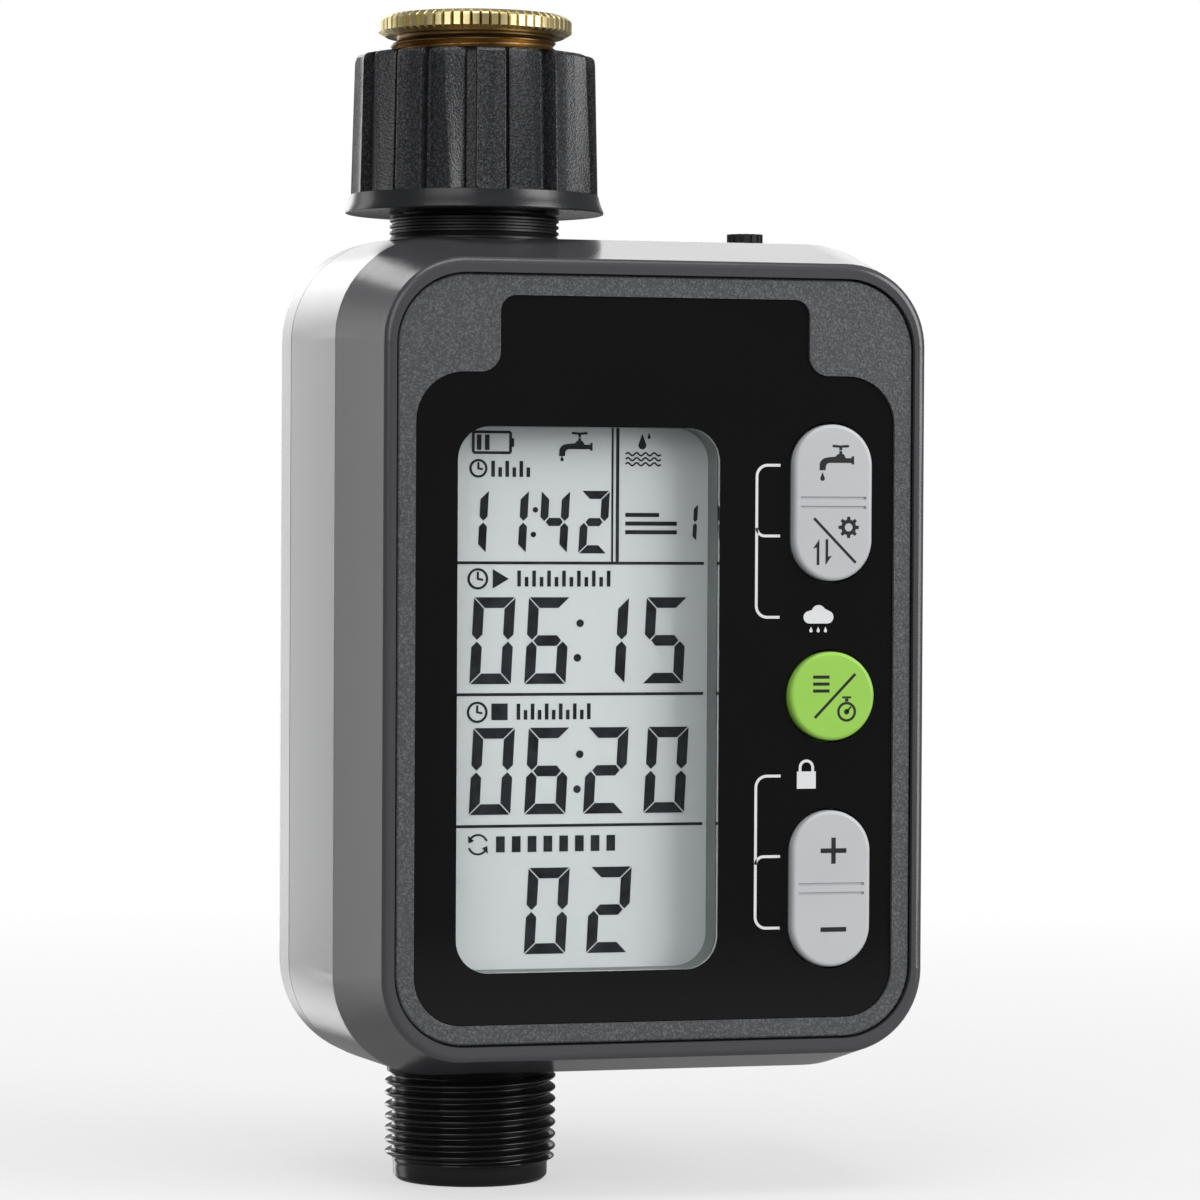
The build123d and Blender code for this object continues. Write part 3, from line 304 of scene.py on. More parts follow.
def tone_drift_group():
    """Slow patches of colour and gloss, as in moulded or cast stock."""
    group, start, end = shader_group(
        "Tone Drift",
        [
            ("Colour", "NodeSocketColor", (0.5, 0.5, 0.5, 1.0)),
            ("Drift Colour", "NodeSocketColor", (0.4, 0.4, 0.4, 1.0)),
            ("Patch Size", "NodeSocketFloat", 12.0),
            ("Smooth", "NodeSocketFloat", 0.3),
            ("Rough", "NodeSocketFloat", 0.45),
        ],
        [("Colour", "NodeSocketColor"), ("Roughness", "NodeSocketFloat")],
    )
    place = put(group, "ShaderNodeTexCoord")
    patches = put(group, "ShaderNodeTexNoise", Detail=4.0, Roughness=0.6)
    share = put(group, "ShaderNodeMapRange", From_Min=0.3, From_Max=0.7)
    tone = put(group, "ShaderNodeMix")
    tone.data_type = "RGBA"
    gloss = put(group, "ShaderNodeMapRange", From_Min=0.3, From_Max=0.7)
    scale = per_millimetre(group, start, "Patch Size")
    join(group, (place, "Object", patches, "Vector"), (scale, 0, patches, "Scale"),
         (patches, "Fac", share, "Value"), (share, "Result", tone, "Factor"),
         (start, "Colour", tone, "A"), (start, "Drift Colour", tone, "B"), (patches, "Fac", gloss, "Value"),
         (start, "Smooth", gloss, "To Min"), (start, "Rough", gloss, "To Max"),
         (tone, "Result", end, "Colour"), (gloss, "Result", end, "Roughness"))
    return group


TONE_DRIFT = tone_drift_group()

# %% Turning marks and edge polish groups


def turning_marks_group():
    """Fine rings round the Z axis that a lathe tool leaves, as a height."""
    group, start, end = shader_group(
        "Turning Marks", [("Ring Pitch", "NodeSocketFloat", 0.12)], [("Height", "NodeSocketFloat")]
    )
    place = put(group, "ShaderNodeTexCoord")
    split = put(group, "ShaderNodeSeparateXYZ")
    flat = put(group, "ShaderNodeCombineXYZ")
    radius = put(group, "ShaderNodeVectorMath", "LENGTH")
    turned = put(group, "ShaderNodeCombineXYZ")
    rings = put(group, "ShaderNodeTexNoise", Detail=1.0)
    join(group, (place, "Object", split, 0), (split, "X", flat, "X"), (split, "Y", flat, "Y"), (flat, 0, radius, 0),
         (radius, "Value", turned, "X"), (split, "Z", turned, "Z"), (turned, 0, rings, "Vector"),
         (per_millimetre(group, start, "Ring Pitch"), 0, rings, "Scale"), (rings, "Fac", end, "Height"))
    return group


def edge_polish_group():
    """Mask of outer edges and of inner corners, from how pointed the surface is."""
    group, start, end = shader_group(
        "Edge Polish",
        [("Edge Start", "NodeSocketFloat", 0.52), ("Corner Start", "NodeSocketFloat", 0.48)],
        [("Edge", "NodeSocketFloat"), ("Corner", "NodeSocketFloat")],
    )
    shape = put(group, "ShaderNodeNewGeometry")
    edge = put(group, "ShaderNodeMapRange", From_Max=0.6)
    corner = put(group, "ShaderNodeMapRange", From_Max=0.4)
    join(group, (shape, "Pointiness", edge, "Value"), (shape, "Pointiness", corner, "Value"),
         (start, "Edge Start", edge, "From Min"), (start, "Corner Start", corner, "From Min"),
         (edge, "Result", end, "Edge"), (corner, "Result", end, "Corner"))
    return group


TURNING_MARKS = turning_marks_group()
EDGE_POLISH = edge_polish_group()
print("groups", sorted(g.name for g in bpy.data.node_groups))

# %% [markdown]
# ## Moulded plastic and rubber
# Most parts are moulded. They differ in colour, gloss, and how coarse and deep the mould texture
# is, so one function builds them all from the groups, and each call reads like a materials list.
# Depth is the real height of the grain, in millimetres.

# %% Moulded material maker


def place_group(tree, group, **values):
    """Puts a shared group in a material with its own values."""
    node = put(tree, "ShaderNodeGroup")
    node.node_tree = group
    tune(node, **values)
    return node


def colour_mix(tree, second):
    """Mix node for colours with its second colour."""
    node = put(tree, "ShaderNodeMix")
    node.data_type = "RGBA"
    tune(node, B=second)
    return node


def rgb(red, green, blue):
    """A display colour of 0 to 255 as linear light."""
    def linear(v):
        v /= 255.0
        return v / 12.92 if v <= 0.04045 else ((v + 0.055) / 1.055) ** 2.4
    return (linear(red), linear(green), linear(blue), 1.0)


def dimmed(colour, share):
    """A colour times a share, no channel above one."""
    return tuple(min(1.0, share * v) for v in colour[:3]) + (1.0,)


def textured(name, colour, drift, patch, gloss, depth, group, **values):
    """Shared start: drifting tone, roughness between the two of gloss, and a group's height as relief.
    Returns the material, its tree and shader, and the tone and relief nodes."""
    made, tree, skin = blank_material(name)
    tone = place_group(tree, TONE_DRIFT, Colour=colour, Drift_Colour=drift, Patch_Size=patch,
                       Smooth=gloss[0], Rough=gloss[1])
    relief = place_group(tree, group, **values)
    bump = put(tree, "ShaderNodeBump", Strength=1.0, Distance=depth * MM)
    join(tree, (tone, "Colour", skin, "Base Color"), (tone, "Roughness", skin, "Roughness"),
         (relief, "Height", bump, "Height"), (bump, "Normal", skin, "Normal"))
    return made, tree, skin, tone, relief


def moulded(name, colour, drift, gloss, grain, depth, patch=14.0):
    """Moulded plastic or rubber."""
    made, _, skin, _, _ = textured(name, colour, drift, patch, gloss, depth, MOULD_TEXTURE,
                                   Grain_Size=grain, Pit_Share=0.4)
    tune(skin, IOR=1.5)
    return made


CASE_GREY = moulded("case_grey", rgb(78, 78, 81), rgb(75, 75, 78), (0.20, 0.22), grain=0.5, depth=0.006, patch=45.0)
COVER_GREY = moulded("cover_grey", rgb(88, 89, 92), rgb(85, 86, 89), (0.24, 0.27), grain=0.5, depth=0.008, patch=45.0)
PANEL_BLACK = moulded("panel_black", rgb(9, 9, 11), rgb(6, 6, 7), (0.03, 0.06), grain=3.0, depth=0.003, patch=40.0)
BLACK_GLOSS = moulded("pipe_black", rgb(22, 22, 24), rgb(16, 16, 17), (0.16, 0.26), grain=0.6, depth=0.004)
NECK_BLACK = moulded("neck_black", rgb(17, 17, 18), rgb(12, 12, 13), (0.38, 0.50), grain=0.5, depth=0.006)
FLANGE_GLOSS = moulded("nut_flange", rgb(38, 39, 41), rgb(32, 33, 35), (0.24, 0.32), grain=0.8, depth=0.004)
BLACK_PLASTIC = moulded("inner_black", rgb(34, 34, 36), rgb(28, 28, 30), (0.40, 0.52), grain=0.4, depth=0.012)
WHITE_PLASTIC = moulded("gear_white", rgb(226, 224, 215), rgb(214, 211, 200), (0.35, 0.45), grain=0.5, depth=0.006)
RUBBER = moulded("black_rubber", rgb(30, 30, 31), rgb(40, 40, 41), (0.65, 0.80), grain=0.3, depth=0.015)
SILICONE = moulded("silicone", rgb(186, 190, 192), rgb(172, 177, 180), (0.50, 0.62), grain=0.6, depth=0.008)
LEAD_JACKET = moulded("lead_jacket", rgb(168, 30, 28), rgb(146, 24, 24), (0.38, 0.48), grain=0.5, depth=0.006)
KEY_GREY = moulded("key_grey", rgb(203, 205, 207), rgb(197, 199, 202), (0.34, 0.44), grain=0.3, depth=0.005)
KEY_GREEN = moulded("key_green", rgb(164, 219, 92), rgb(156, 212, 84), (0.34, 0.44), grain=0.3, depth=0.005)
SURROUND = moulded("lcd_surround", rgb(100, 109, 106), rgb(92, 101, 99), (0.45, 0.55), grain=0.4, depth=0.008)

# %% [markdown]
# The frame round the panel and the ribbed nut carry a coarser grain: their moulds were left rougher. Their highest
# grains get a lighter colour, a painted glint that stands for single grains catching the light: the glint mask of the
# mould texture group lightens the colour of just those grains.

# %% Plastic maker with painted glints


def painted_glint_plastic(name, colour, painted_glint_colour, gloss, grain, depth):
    """Coarse spark-eroded plastic whose highest grains are painted lighter, as glints."""
    made, tree, skin, tone, relief = textured(name, colour, dimmed(colour, 0.86), 9.0, gloss, depth,
                                              MOULD_TEXTURE, Grain_Size=grain, Pit_Share=0.35)
    # Painted highlight: the glint mask mixes a lighter colour into the highest grains.
    lit = colour_mix(tree, painted_glint_colour)
    join(tree, (relief, "Painted Glint", lit, "Factor"), (tone, "Colour", lit, "A"), (lit, "Result", skin, "Base Color"))
    return made


# The second colour is the painted glint on the highest grains.
FRAME_GREY = painted_glint_plastic("frame_grey", rgb(76, 77, 80), rgb(112, 113, 116), (0.34, 0.44), grain=0.34, depth=0.060)
NUT_GREY = painted_glint_plastic("nut_grey", rgb(34, 35, 37), rgb(84, 85, 88), (0.27, 0.37), grain=0.34, depth=0.085)
print("plastics", len(bpy.data.materials))

# %% [markdown]
# ## Metal
# The adapter is turned brass: a warm yellow with fine lathe rings, darker in the corners where
# tarnish stays, and brighter on edges that hands polish. Plated steel and copper parts inside use
# the same recipe with other colours.

# %% Metal maker
RING_PITCH, RING_DEPTH = 0.12, 0.004


def turned_metal(name, colour, tarnish, gloss):
    """Lathe-turned metal with tarnish in corners and polish on edges."""
    made, tree, skin, tone, _ = textured(name, colour, dimmed(colour, 0.82), 3.0, gloss, RING_DEPTH,
                                         TURNING_MARKS, Ring_Pitch=RING_PITCH)
    rub = place_group(tree, EDGE_POLISH, Edge_Start=0.53, Corner_Start=0.475)
    aged, polished = colour_mix(tree, tarnish), colour_mix(tree, dimmed(colour, 1.12))
    join(tree, (rub, "Corner", aged, "Factor"), (tone, "Colour", aged, "A"), (rub, "Edge", polished, "Factor"),
         (aged, "Result", polished, "A"), (polished, "Result", skin, "Base Color"))
    tune(skin, Metallic=1.0)
    return made


BRASS = turned_metal("brass", (0.90, 0.77, 0.42, 1.0), (0.14, 0.07, 0.03, 1.0), (0.27, 0.37))
# Darker brass for the thread under the knurled rim: painted shade where the rim shadows the thread.
BRASS_PAINTED_SHADE = turned_metal("brass_painted_shade", (0.34, 0.22, 0.09, 1.0), (0.10, 0.05, 0.03, 1.0), (0.34, 0.46))
STEEL = turned_metal("steel", (0.62, 0.61, 0.59, 1.0), (0.25, 0.24, 0.22, 1.0), (0.26, 0.38))
CONTACT = turned_metal("contact_metal", (0.80, 0.72, 0.52, 1.0), (0.35, 0.28, 0.16, 1.0), (0.22, 0.32))
STRAINER_STEEL = turned_metal("strainer_steel", (0.66, 0.66, 0.64, 1.0), (0.3, 0.3, 0.28, 1.0), (0.25, 0.34))

# %% [markdown]
# ## Glass, display and circuit board
# The window is clear: light must reach the display behind it, so shadow rays pass straight
# through. The display cell is a pale grey-green that shades slowly. The board shows green solder
# mask with lighter copper tracks under it, drawn by a brick pattern.

# %% Window and display materials


def window_material():
    """Clear hard-coated plastic that lets lamps through."""
    made, tree, skin = blank_material("clear_lens")
    tune(skin, Base_Color=(1.0, 1.0, 1.0, 1.0), Transmission_Weight=1.0, IOR=1.35)
    scuffs = put(tree, "ShaderNodeTexNoise", Scale=60.0)
    haze = put(tree, "ShaderNodeMapRange", From_Min=0.35, From_Max=0.8, To_Min=0.0, To_Max=0.03)
    place = put(tree, "ShaderNodeTexCoord")
    path = put(tree, "ShaderNodeLightPath")
    clear = put(tree, "ShaderNodeBsdfTransparent")
    mix = put(tree, "ShaderNodeMixShader")
    out = tree.nodes["Material Output"]
    join(tree, (place, "Object", scuffs, "Vector"), (scuffs, "Fac", haze, "Value"),
         (haze, "Result", skin, "Roughness"), (path, "Is Shadow Ray", mix, 0), (skin, 0, mix, 1),
         (clear, 0, mix, 2), (mix, 0, out, "Surface"))
    return made


CLEAR_LENS = window_material()
LCD_CELL = moulded("lcd_cell", rgb(184, 190, 190), rgb(180, 186, 186), (0.40, 0.50), grain=1.2, depth=0.002, patch=30.0)
INK = moulded("lcd_ink", rgb(16, 19, 22), rgb(40, 44, 48), (0.45, 0.55), grain=0.5, depth=0.004, patch=3.0)
WHITE_PRINT = moulded("white_print", rgb(238, 239, 240), rgb(228, 229, 231), (0.45, 0.55), grain=0.3, depth=0.004,
                      patch=4.0)
tune(INK.node_tree.nodes["Principled BSDF"], IOR=1.1)
BLACK_PRINT = moulded("black_print", rgb(14, 14, 15), rgb(24, 24, 25), (0.45, 0.58), grain=0.3, depth=0.004, patch=4.0)

# %% Circuit board material


def board_material():
    """Solder mask over copper tracks."""
    made, tree, skin = blank_material("board_green")
    place = put(tree, "ShaderNodeTexCoord")
    flat = put(tree, "ShaderNodeMapping", Rotation=(math.radians(90.0), 0.0, 0.0))
    tracks = put(tree, "ShaderNodeTexBrick", Scale=260.0, Mortar_Size=0.05, Color1=rgb(22, 92, 50),
                 Color2=rgb(18, 80, 44), Mortar=rgb(62, 138, 74))
    bump = put(tree, "ShaderNodeBump", Strength=1.0, Distance=0.03 * MM)
    join(tree, (place, "Object", flat, "Vector"), (flat, "Vector", tracks, "Vector"),
         (tracks, "Color", skin, "Base Color"), (tracks, "Fac", bump, "Height"),
         (bump, "Normal", skin, "Normal"))
    tune(skin, Roughness=0.28)
    return made


BOARD_GREEN = board_material()

# %% [markdown]
# ## Dress the engineering parts
# Parts whose modelled shape is already right keep it and only get their finish. One table lists
# them all, so nothing is forgotten, and the cell prints any part left out.

# %% Assign the finishes
FINISHES = {
    "front_shell": CASE_GREY, "rear_cover": COVER_GREY, "shell_gasket": RUBBER, "face_frame": FRAME_GREY,
    "display_panel": PANEL_BLACK, "window_lens": CLEAR_LENS, "lcd_surround": SURROUND, "lcd_glass": LCD_CELL,
    "zebra_strips": SILICONE, "upper_rocker_key": KEY_GREY, "lower_rocker_key": KEY_GREY, "mode_key": KEY_GREEN,
    "keypad_mat": SILICONE, "main_board": BOARD_GREEN, "board_screws": STEEL, "tact_switches": BLACK_PLASTIC,
    "controller_chip": BLACK_PLASTIC, "board_parts": BLACK_PLASTIC, "buzzer": BLACK_PLASTIC, "adapter_washer": RUBBER,
    "nut_retaining_ring": STEEL, "inlet_washer": RUBBER, "inlet_spigot": NECK_BLACK, "spigot_oring": RUBBER,
    "neck_seal": RUBBER, "spigot_clip": STEEL, "outlet_seal": RUBBER, "valve_ball": STEEL, "ball_seats": WHITE_PLASTIC,
    "valve_stem": STEEL, "stem_orings": RUBBER, "stem_gear": WHITE_PLASTIC, "stem_cam": WHITE_PLASTIC,
    "drive_pinion": STEEL, "drive_plate": STEEL, "drive_screws": STEEL, "gearbox": BLACK_PLASTIC, "motor": STEEL,
    "limit_switches": BLACK_PLASTIC, "battery_bay": BLACK_PLASTIC, "bay_screws": STEEL, "bay_contacts": CONTACT,
    "battery_drawer": BLACK_PLASTIC, "drawer_gasket": RUBBER, "cell_contacts": CONTACT, "sensor_socket": BLACK_PLASTIC,
    "sensor_plug": RUBBER, "motor_lead": LEAD_JACKET, "battery_lead": LEAD_JACKET, "sensor_lead": LEAD_JACKET,
}
REBUILT = ("swivel_nut", "brass_adapter", "valve_body", "filter_screen", "case_screws", "battery_cells")
for name, finish in FINISHES.items():
    nodes[name].data.materials.clear()
    nodes[name].data.materials.append(finish)
print("not yet dressed", sorted(set(nodes) - set(FINISHES) - set(REBUILT)))

# %% [markdown]
# ## Turned and moulded shapes by rule
# Threads, knurls and ribbed nuts all follow one rule: walk round the axis and up the part, and a
# formula says how far out the surface is. So one helper takes a closed list of rows, each row a
# height and a radius that may change with the angle, and skins them into a watertight ring with
# no poles. A screw thread only adds a phase that advances one pitch a turn.

# %% Ring skin helper
TURN = 2.0 * math.pi


def finish_mesh(name, verts, faces, finish, sharp=32.0):
    """Makes a mesh object in millimetres, merges doubles, turns faces outwards and shades it."""
    mesh = bpy.data.meshes.new(name)
    mesh.from_pydata([(x * MM, y * MM, z * MM) for x, y, z in verts], [], faces)
    work = bmesh.new()
    work.from_mesh(mesh)
    bmesh.ops.remove_doubles(work, verts=work.verts, dist=0.0005 * MM)
    bmesh.ops.recalc_face_normals(work, faces=work.faces)
    work.to_mesh(mesh)
    work.free()
    shade(mesh, sharp, finish)
    return add_object(name, mesh)


def around(radius, angle, height):
    """Point at a radius and an angle round the Z axis."""
    return radius * math.cos(angle), radius * math.sin(angle), height


def ring_faces(rows, columns, closed=True):
    """Squares between rows of a ring, and from the last row to the first when closed."""
    faces = []
    for row in range(rows if closed else rows - 1):
        after = (row + 1) % rows
        for column in range(columns):
            beside = (column + 1) % columns
            faces.append((row * columns + column, row * columns + beside,
                          after * columns + beside, after * columns + column))
    return faces


def finish_below(piece, height, finish):
    """Gives the faces below a height, in millimetres, a second finish."""
    piece.data.materials.append(finish)
    for face in piece.data.polygons:
        if face.center.z < height * MM:
            face.material_index = 1


def ring_skin(name, rows, columns, finish, sharp=32.0, angles=None, closed=True):
    """Watertight ring round Z. rows: list of (radius, height), the radius a number or f(angle),
    closed on itself, or ending on the axis at both ends when closed is False."""
    verts = []
    for row, (radius, height) in enumerate(rows):
        for column in range(columns):
            angle = angles(row, column) if angles else TURN * column / columns
            verts.append(around(radius(angle) if callable(radius) else radius, angle, height))
    return finish_mesh(name, verts, ring_faces(len(rows), columns, closed), finish, sharp)


# %% Thread rule
PITCH = 1.814


def rounded_thread(share):
    """Height of a pipe thread's profile, 0 to 1, at a share of the pitch: rounded crest and root."""
    slope = abs((share % 1.0) * 2.0 - 1.0)
    steep = (slope - 0.5) * 1.7
    return 0.5 + 0.5 * math.tanh(2.1 * steep) / math.tanh(2.1 * 0.85)


def thread_row(height, root, crest, top, bottom, pitch=PITCH, run_out=1.2):
    """One row of a right-hand thread that fades in and out over run_out at both ends."""
    room = min(top - height, height - bottom)
    fade = max(0.0, min(1.0, room / run_out))
    fade = fade * fade * (3.0 - 2.0 * fade)

    def radius(angle):
        return root + (crest - root) * fade * rounded_thread(height / pitch - angle / TURN)
    return radius, height


def spread(first, last, count):
    """Evenly spaced values from first to last."""
    return [first + (last - first) * k / (count - 1) for k in range(count)]


# %% [markdown]
# ## Brass adapter
# On the real timer this is a turned brass bush: a knurled rim to grip, a male three-quarter-inch
# thread below it that screws into the nut, and a female half-inch thread inside. The rim's teeth
# run out into V-shaped ends, because the blank is chamfered before it is knurled: the surface is
# simply the lower of the tooth and the chamfer.

# %% Make the brass adapter
RIM_RADIUS, RIM_ROOT, RIM_TALL, RIM_TEETH = 14.9, 14.1, 3.2, 64
TOOTH_SHARES = (0.0, 0.09, 0.185, 0.35, 0.65, 0.815, 0.91)
ADAPTER_LOW = -16.5


def knurled(limit):
    """Radius of a straight knurl, never beyond the chamfer's limit."""
    def radius(angle):
        share = (angle * RIM_TEETH / TURN) % 1.0
        tooth = min(1.0, 2.7 - 5.4 * abs(share - 0.5))
        return min(limit, RIM_ROOT + (RIM_RADIUS - RIM_ROOT) * tooth)
    return radius


def adapter_rows():
    """Closed profile of the adapter, from the mouth outwards and down, then up inside."""
    rows = [(10.55, 0.0), (13.6, 0.0), (13.95, -0.06)]
    for drop in (0.12, 0.3, 0.5, 0.7, 0.9):
        rows.append((knurled(13.95 + 1.25 * drop), -drop))
    rows += [(knurled(RIM_RADIUS), -z) for z in spread(1.0, 2.3, 4)]
    for rise in (0.7, 0.5, 0.35, 0.18, 0.0):
        rows.append((knurled(13.7 + 1.75 * rise), -RIM_TALL + rise))
    rows += [(13.4, -RIM_TALL), (12.1, -RIM_TALL)]
    rows += [thread_row(z, 12.02, 13.05, -RIM_TALL - 0.2, ADAPTER_LOW + 0.3) for z in spread(-3.4, -16.1, 104)]
    rows += [(11.5, ADAPTER_LOW), (8.4, ADAPTER_LOW), (8.0, ADAPTER_LOW + 0.4), (8.0, -13.5)]
    rows += [(9.9, -13.5), (9.9, -11.5), (9.4, -11.5)]
    rows += [thread_row(z, 9.3155, 10.38, 0.4, -10.8) for z in spread(-11.3, -0.5, 88)]
    return rows


def tooth_angle(row, column):
    """Angle of a column: seven to a tooth, crowded at the groove between two teeth."""
    tooth, place = divmod(column, len(TOOTH_SHARES))
    return TURN * (tooth + TOOTH_SHARES[place]) / RIM_TEETH


adapter = ring_skin("brass_bush", adapter_rows(), RIM_TEETH * len(TOOTH_SHARES), BRASS, sharp=38.0,
                    angles=tooth_angle)
# The faces below the rim take the darker brass, a painted shade on the thread.
finish_below(adapter, -(RIM_TALL - 0.01), BRASS_PAINTED_SHADE)
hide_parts("brass_adapter")
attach(adapter, "adapter")
print("adapter faces", len(adapter.data.polygons))

# %% [markdown]
# ## Swivel nut
# The nut's grip repeats nine times round: a deep slot, a flush panel, a sharp ridge with a groove
# behind it, then two facets that meet on a slanted line. The mould leaves a coarse texture. Each
# period is a list of angles at the top and at the bottom of the nut, so the slanted line comes
# from sliding the columns, and edges stay crisp with few faces.

# %% Make the swivel nut
NUT_TOP, NUT_FLANGE_TOP, NUT_LOW = -6.1, -27.5, -30.4
NUT_PERIODS = 9
PERIOD = 360.0 / NUT_PERIODS
NUT_TURN = math.radians(-106.4)
# angle at the top, angle at the bottom, depth below the outer surface
GRIP = [
    (0.0, 0.0, 2.3), (2.3, 2.3, 2.3), (2.5, 2.5, 1.8), (2.65, 2.65, 0.25), (2.9, 2.9, 0.06), (3.4, 3.4, 0.0),
    (6.5, 6.5, 0.22), (9.5, 9.5, 0.34), (12.5, 12.5, 0.28), (15.4, 15.4, 0.03), (16.0, 16.0, 0.0), (16.4, 16.4, 0.08),
    (16.6, 16.6, 1.6), (16.8, 16.8, 2.0), (18.8, 18.8, 2.0), (19.0, 19.0, 1.75), (19.3, 19.3, 1.35),
    (21.5, 22.6, 1.02), (24.4, 26.6, 0.52), (26.6, 30.0, 0.09), (27.1, 30.6, 0.02), (27.6, 31.1, 0.09),
    (30.2, 33.0, 0.58), (33.0, 34.8, 1.0), (36.0, 36.4, 1.38), (37.0, 37.0, 1.55), (37.4, 37.4, 1.9), (37.6, 37.6, 2.3),
]


def nut_outer(height):
    """Outer radius of the nut's tapered wall."""
    return 18.6 + (NUT_TOP - height) / (NUT_TOP - NUT_FLANGE_TOP) * 0.5


def nut_rows():
    """Rows as (height, radius, share of the grip's depth)."""
    rows = [(NUT_TOP, 14.2, 0.0), (NUT_TOP, 16.4, 0.0), (NUT_TOP, 17.2, 0.0), (NUT_TOP - 0.08, 17.75, 0.55),
            (NUT_TOP - 0.3, 18.25, 0.85), (NUT_TOP - 0.65, 18.55, 1.0)]
    rows += [(z, nut_outer(z), 1.0) for z in spread(-7.4, -26.9, 14)]
    rows += [(-27.25, nut_outer(-27.3), 1.0), (-27.42, nut_outer(-27.4), 0.9), (-27.5, 19.02, 0.25)]
    rows += [(-27.56, 19.12, 0.0), (-27.9, 19.2, 0.0), (-28.5, 19.36, 0.0), (-29.2, 19.6, 0.0), (-29.9, 19.88, 0.0)]
    rows += [(-30.15, 19.94, 0.0), (-30.33, 19.88, 0.0), (NUT_LOW, 19.7, 0.0), (NUT_LOW, 18.6, 0.0)]
    rows += [(NUT_LOW, 12.0, 0.0), (-30.2, 11.5, 0.0), (-30.0, 11.35, 0.0), (-27.6, 11.35, 0.0), (-27.4, 11.6, 0.0)]
    rows += [(-27.4, 13.4, 0.0), (-27.2, 13.62, 0.0), (-20.6, 13.62, 0.0), (-20.4, 13.5, 0.0), (-20.3, 13.32, 0.0)]
    return rows


def nut_skin():
    """Rows of the grip with the columns slid by height, and a threaded bore."""
    columns = NUT_PERIODS * len(GRIP)
    outer = nut_rows()
    verts = []
    for height, radius, share in outer:
        slide = min(1.0, max(0.0, (NUT_TOP - height) / (NUT_TOP - NUT_FLANGE_TOP)))
        for period in range(NUT_PERIODS):
            for top, bottom, depth in GRIP:
                angle = NUT_TURN + math.radians(PERIOD * period + top + (bottom - top) * slide)
                verts.append(around(radius - share * depth, angle, height))
    bore = [thread_row(z, 13.3, 13.95, NUT_TOP - 0.4, -20.0, run_out=0.9) for z in spread(-20.1, -6.6, 104)]
    bore += [(13.5, -6.3), (13.8, NUT_TOP)]
    for radius, height in bore:
        for column in range(columns):
            period, place = divmod(column, len(GRIP))
            angle = NUT_TURN + math.radians(PERIOD * period + GRIP[place][0])
            verts.append(around(radius(angle) if callable(radius) else radius, angle, height))
    faces = ring_faces(len(outer) + len(bore), columns)
    piece = finish_mesh("ribbed_nut", verts, faces, NUT_GREY, sharp=24.0)
    finish_below(piece, NUT_FLANGE_TOP - 0.05, FLANGE_GLOSS)
    return piece


nut = nut_skin()
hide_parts("swivel_nut")
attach(nut, "swivel_nut")
print("nut faces", len(nut.data.polygons))

# %% [markdown]
# ## Valve body and outlet thread
# The valve housing is one moulding, but its outlet end needs a real helical thread. A copy of the
# engineering mesh is merged, cut just inside the case and capped, and the threaded end is added
# as a ring skin. The engineering mesh itself is left alone.

# %% Cut the housing and thread the outlet
OUTLET_CUT, OUTLET_LOW = -162.6, -179.3


def cut_housing():
    """Merged copy of the valve body above the cut, with the cut closed."""
    work = bmesh.new()
    work.from_mesh(nodes["valve_body"].data)
    bmesh.ops.remove_doubles(work, verts=work.verts, dist=0.001 * MM)
    every = list(work.verts) + list(work.edges) + list(work.faces)
    cut = bmesh.ops.bisect_plane(work, geom=every, dist=1e-7, plane_co=(0.0, 0.0, (OUTLET_CUT + 0.05) * MM),
                                 plane_no=(0.0, 0.0, -1.0), clear_outer=True)
    rim = [e for e in cut["geom_cut"] if isinstance(e, bmesh.types.BMEdge)]
    bmesh.ops.triangle_fill(work, use_beauty=True, use_dissolve=False, edges=rim)
    bmesh.ops.recalc_face_normals(work, faces=work.faces)
    mesh = bpy.data.meshes.new("valve_housing")
    work.to_mesh(mesh)
    work.free()
    shade(mesh, 30.0, BLACK_GLOSS)
    return add_object("valve_housing", mesh)


def outlet_rows():
    """Closed profile of the outlet end: collar, thread, plain lead, mouth and bore."""
    rows = [(7.5, OUTLET_CUT), (12.5, OUTLET_CUT), (12.35, OUTLET_CUT - 0.1), (12.1, OUTLET_CUT - 0.3)]
    rows += [thread_row(z, 12.06, 13.22, -162.4, -176.5, run_out=0.8) for z in spread(-162.95, -176.4, 170)]
    rows += [(11.93, -176.7), (11.9, -177.0), (11.9, -178.4), (11.8, -178.7), (11.3, -179.18), (11.1, OUTLET_LOW)]
    rows += [(8.0, OUTLET_LOW), (7.7, -179.2), (7.5, -178.9), (7.5, -170.0)]
    return rows


housing = cut_housing()
outlet = ring_skin("outlet_thread", outlet_rows(), 160, BLACK_GLOSS, sharp=40.0)
for piece in (housing, outlet):
    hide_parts("valve_body")
    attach(piece, "case")
print("housing faces", len(housing.data.polygons), "outlet faces", len(outlet.data.polygons))

# %% [markdown]
# ## Flat marks
# Display segments and pad prints are thin flat shapes that face forwards. A small kit draws them
# as outlines in the front view and one function gives them a thickness of real ink, so they are
# geometry with clean edges at any zoom, and no picture is needed.

# %% Outline kit


def box_mark(x_low, x_high, z_low, z_high):
    """Rectangle."""
    return [(x_low, z_low), (x_high, z_low), (x_high, z_high), (x_low, z_high)]


def arc(x, z, radius, start, end, steps):
    """Points on a circle from start to end, in degrees anticlockwise from the right."""
    return [(x + radius * math.cos(math.radians(a)), z + radius * math.sin(math.radians(a)))
            for a in spread(start, end, steps + 1)]


def disc_mark(x, z, radius, steps=28):
    """Full disc."""
    return arc(x, z, radius, 0.0, 360.0, steps)[:-1]


def band_mark(x, z, outer, inner, start=0.0, end=360.0, steps=24):
    """Arc band; a full turn comes as two halves so that its hole stays open."""
    if end - start >= 360.0:
        return (band_mark(x, z, outer, inner, start, start + 180.0, steps)
                + band_mark(x, z, outer, inner, start + 180.0, start + 360.0, steps))
    return [arc(x, z, outer, start, end, steps) + arc(x, z, inner, end, start, steps)]


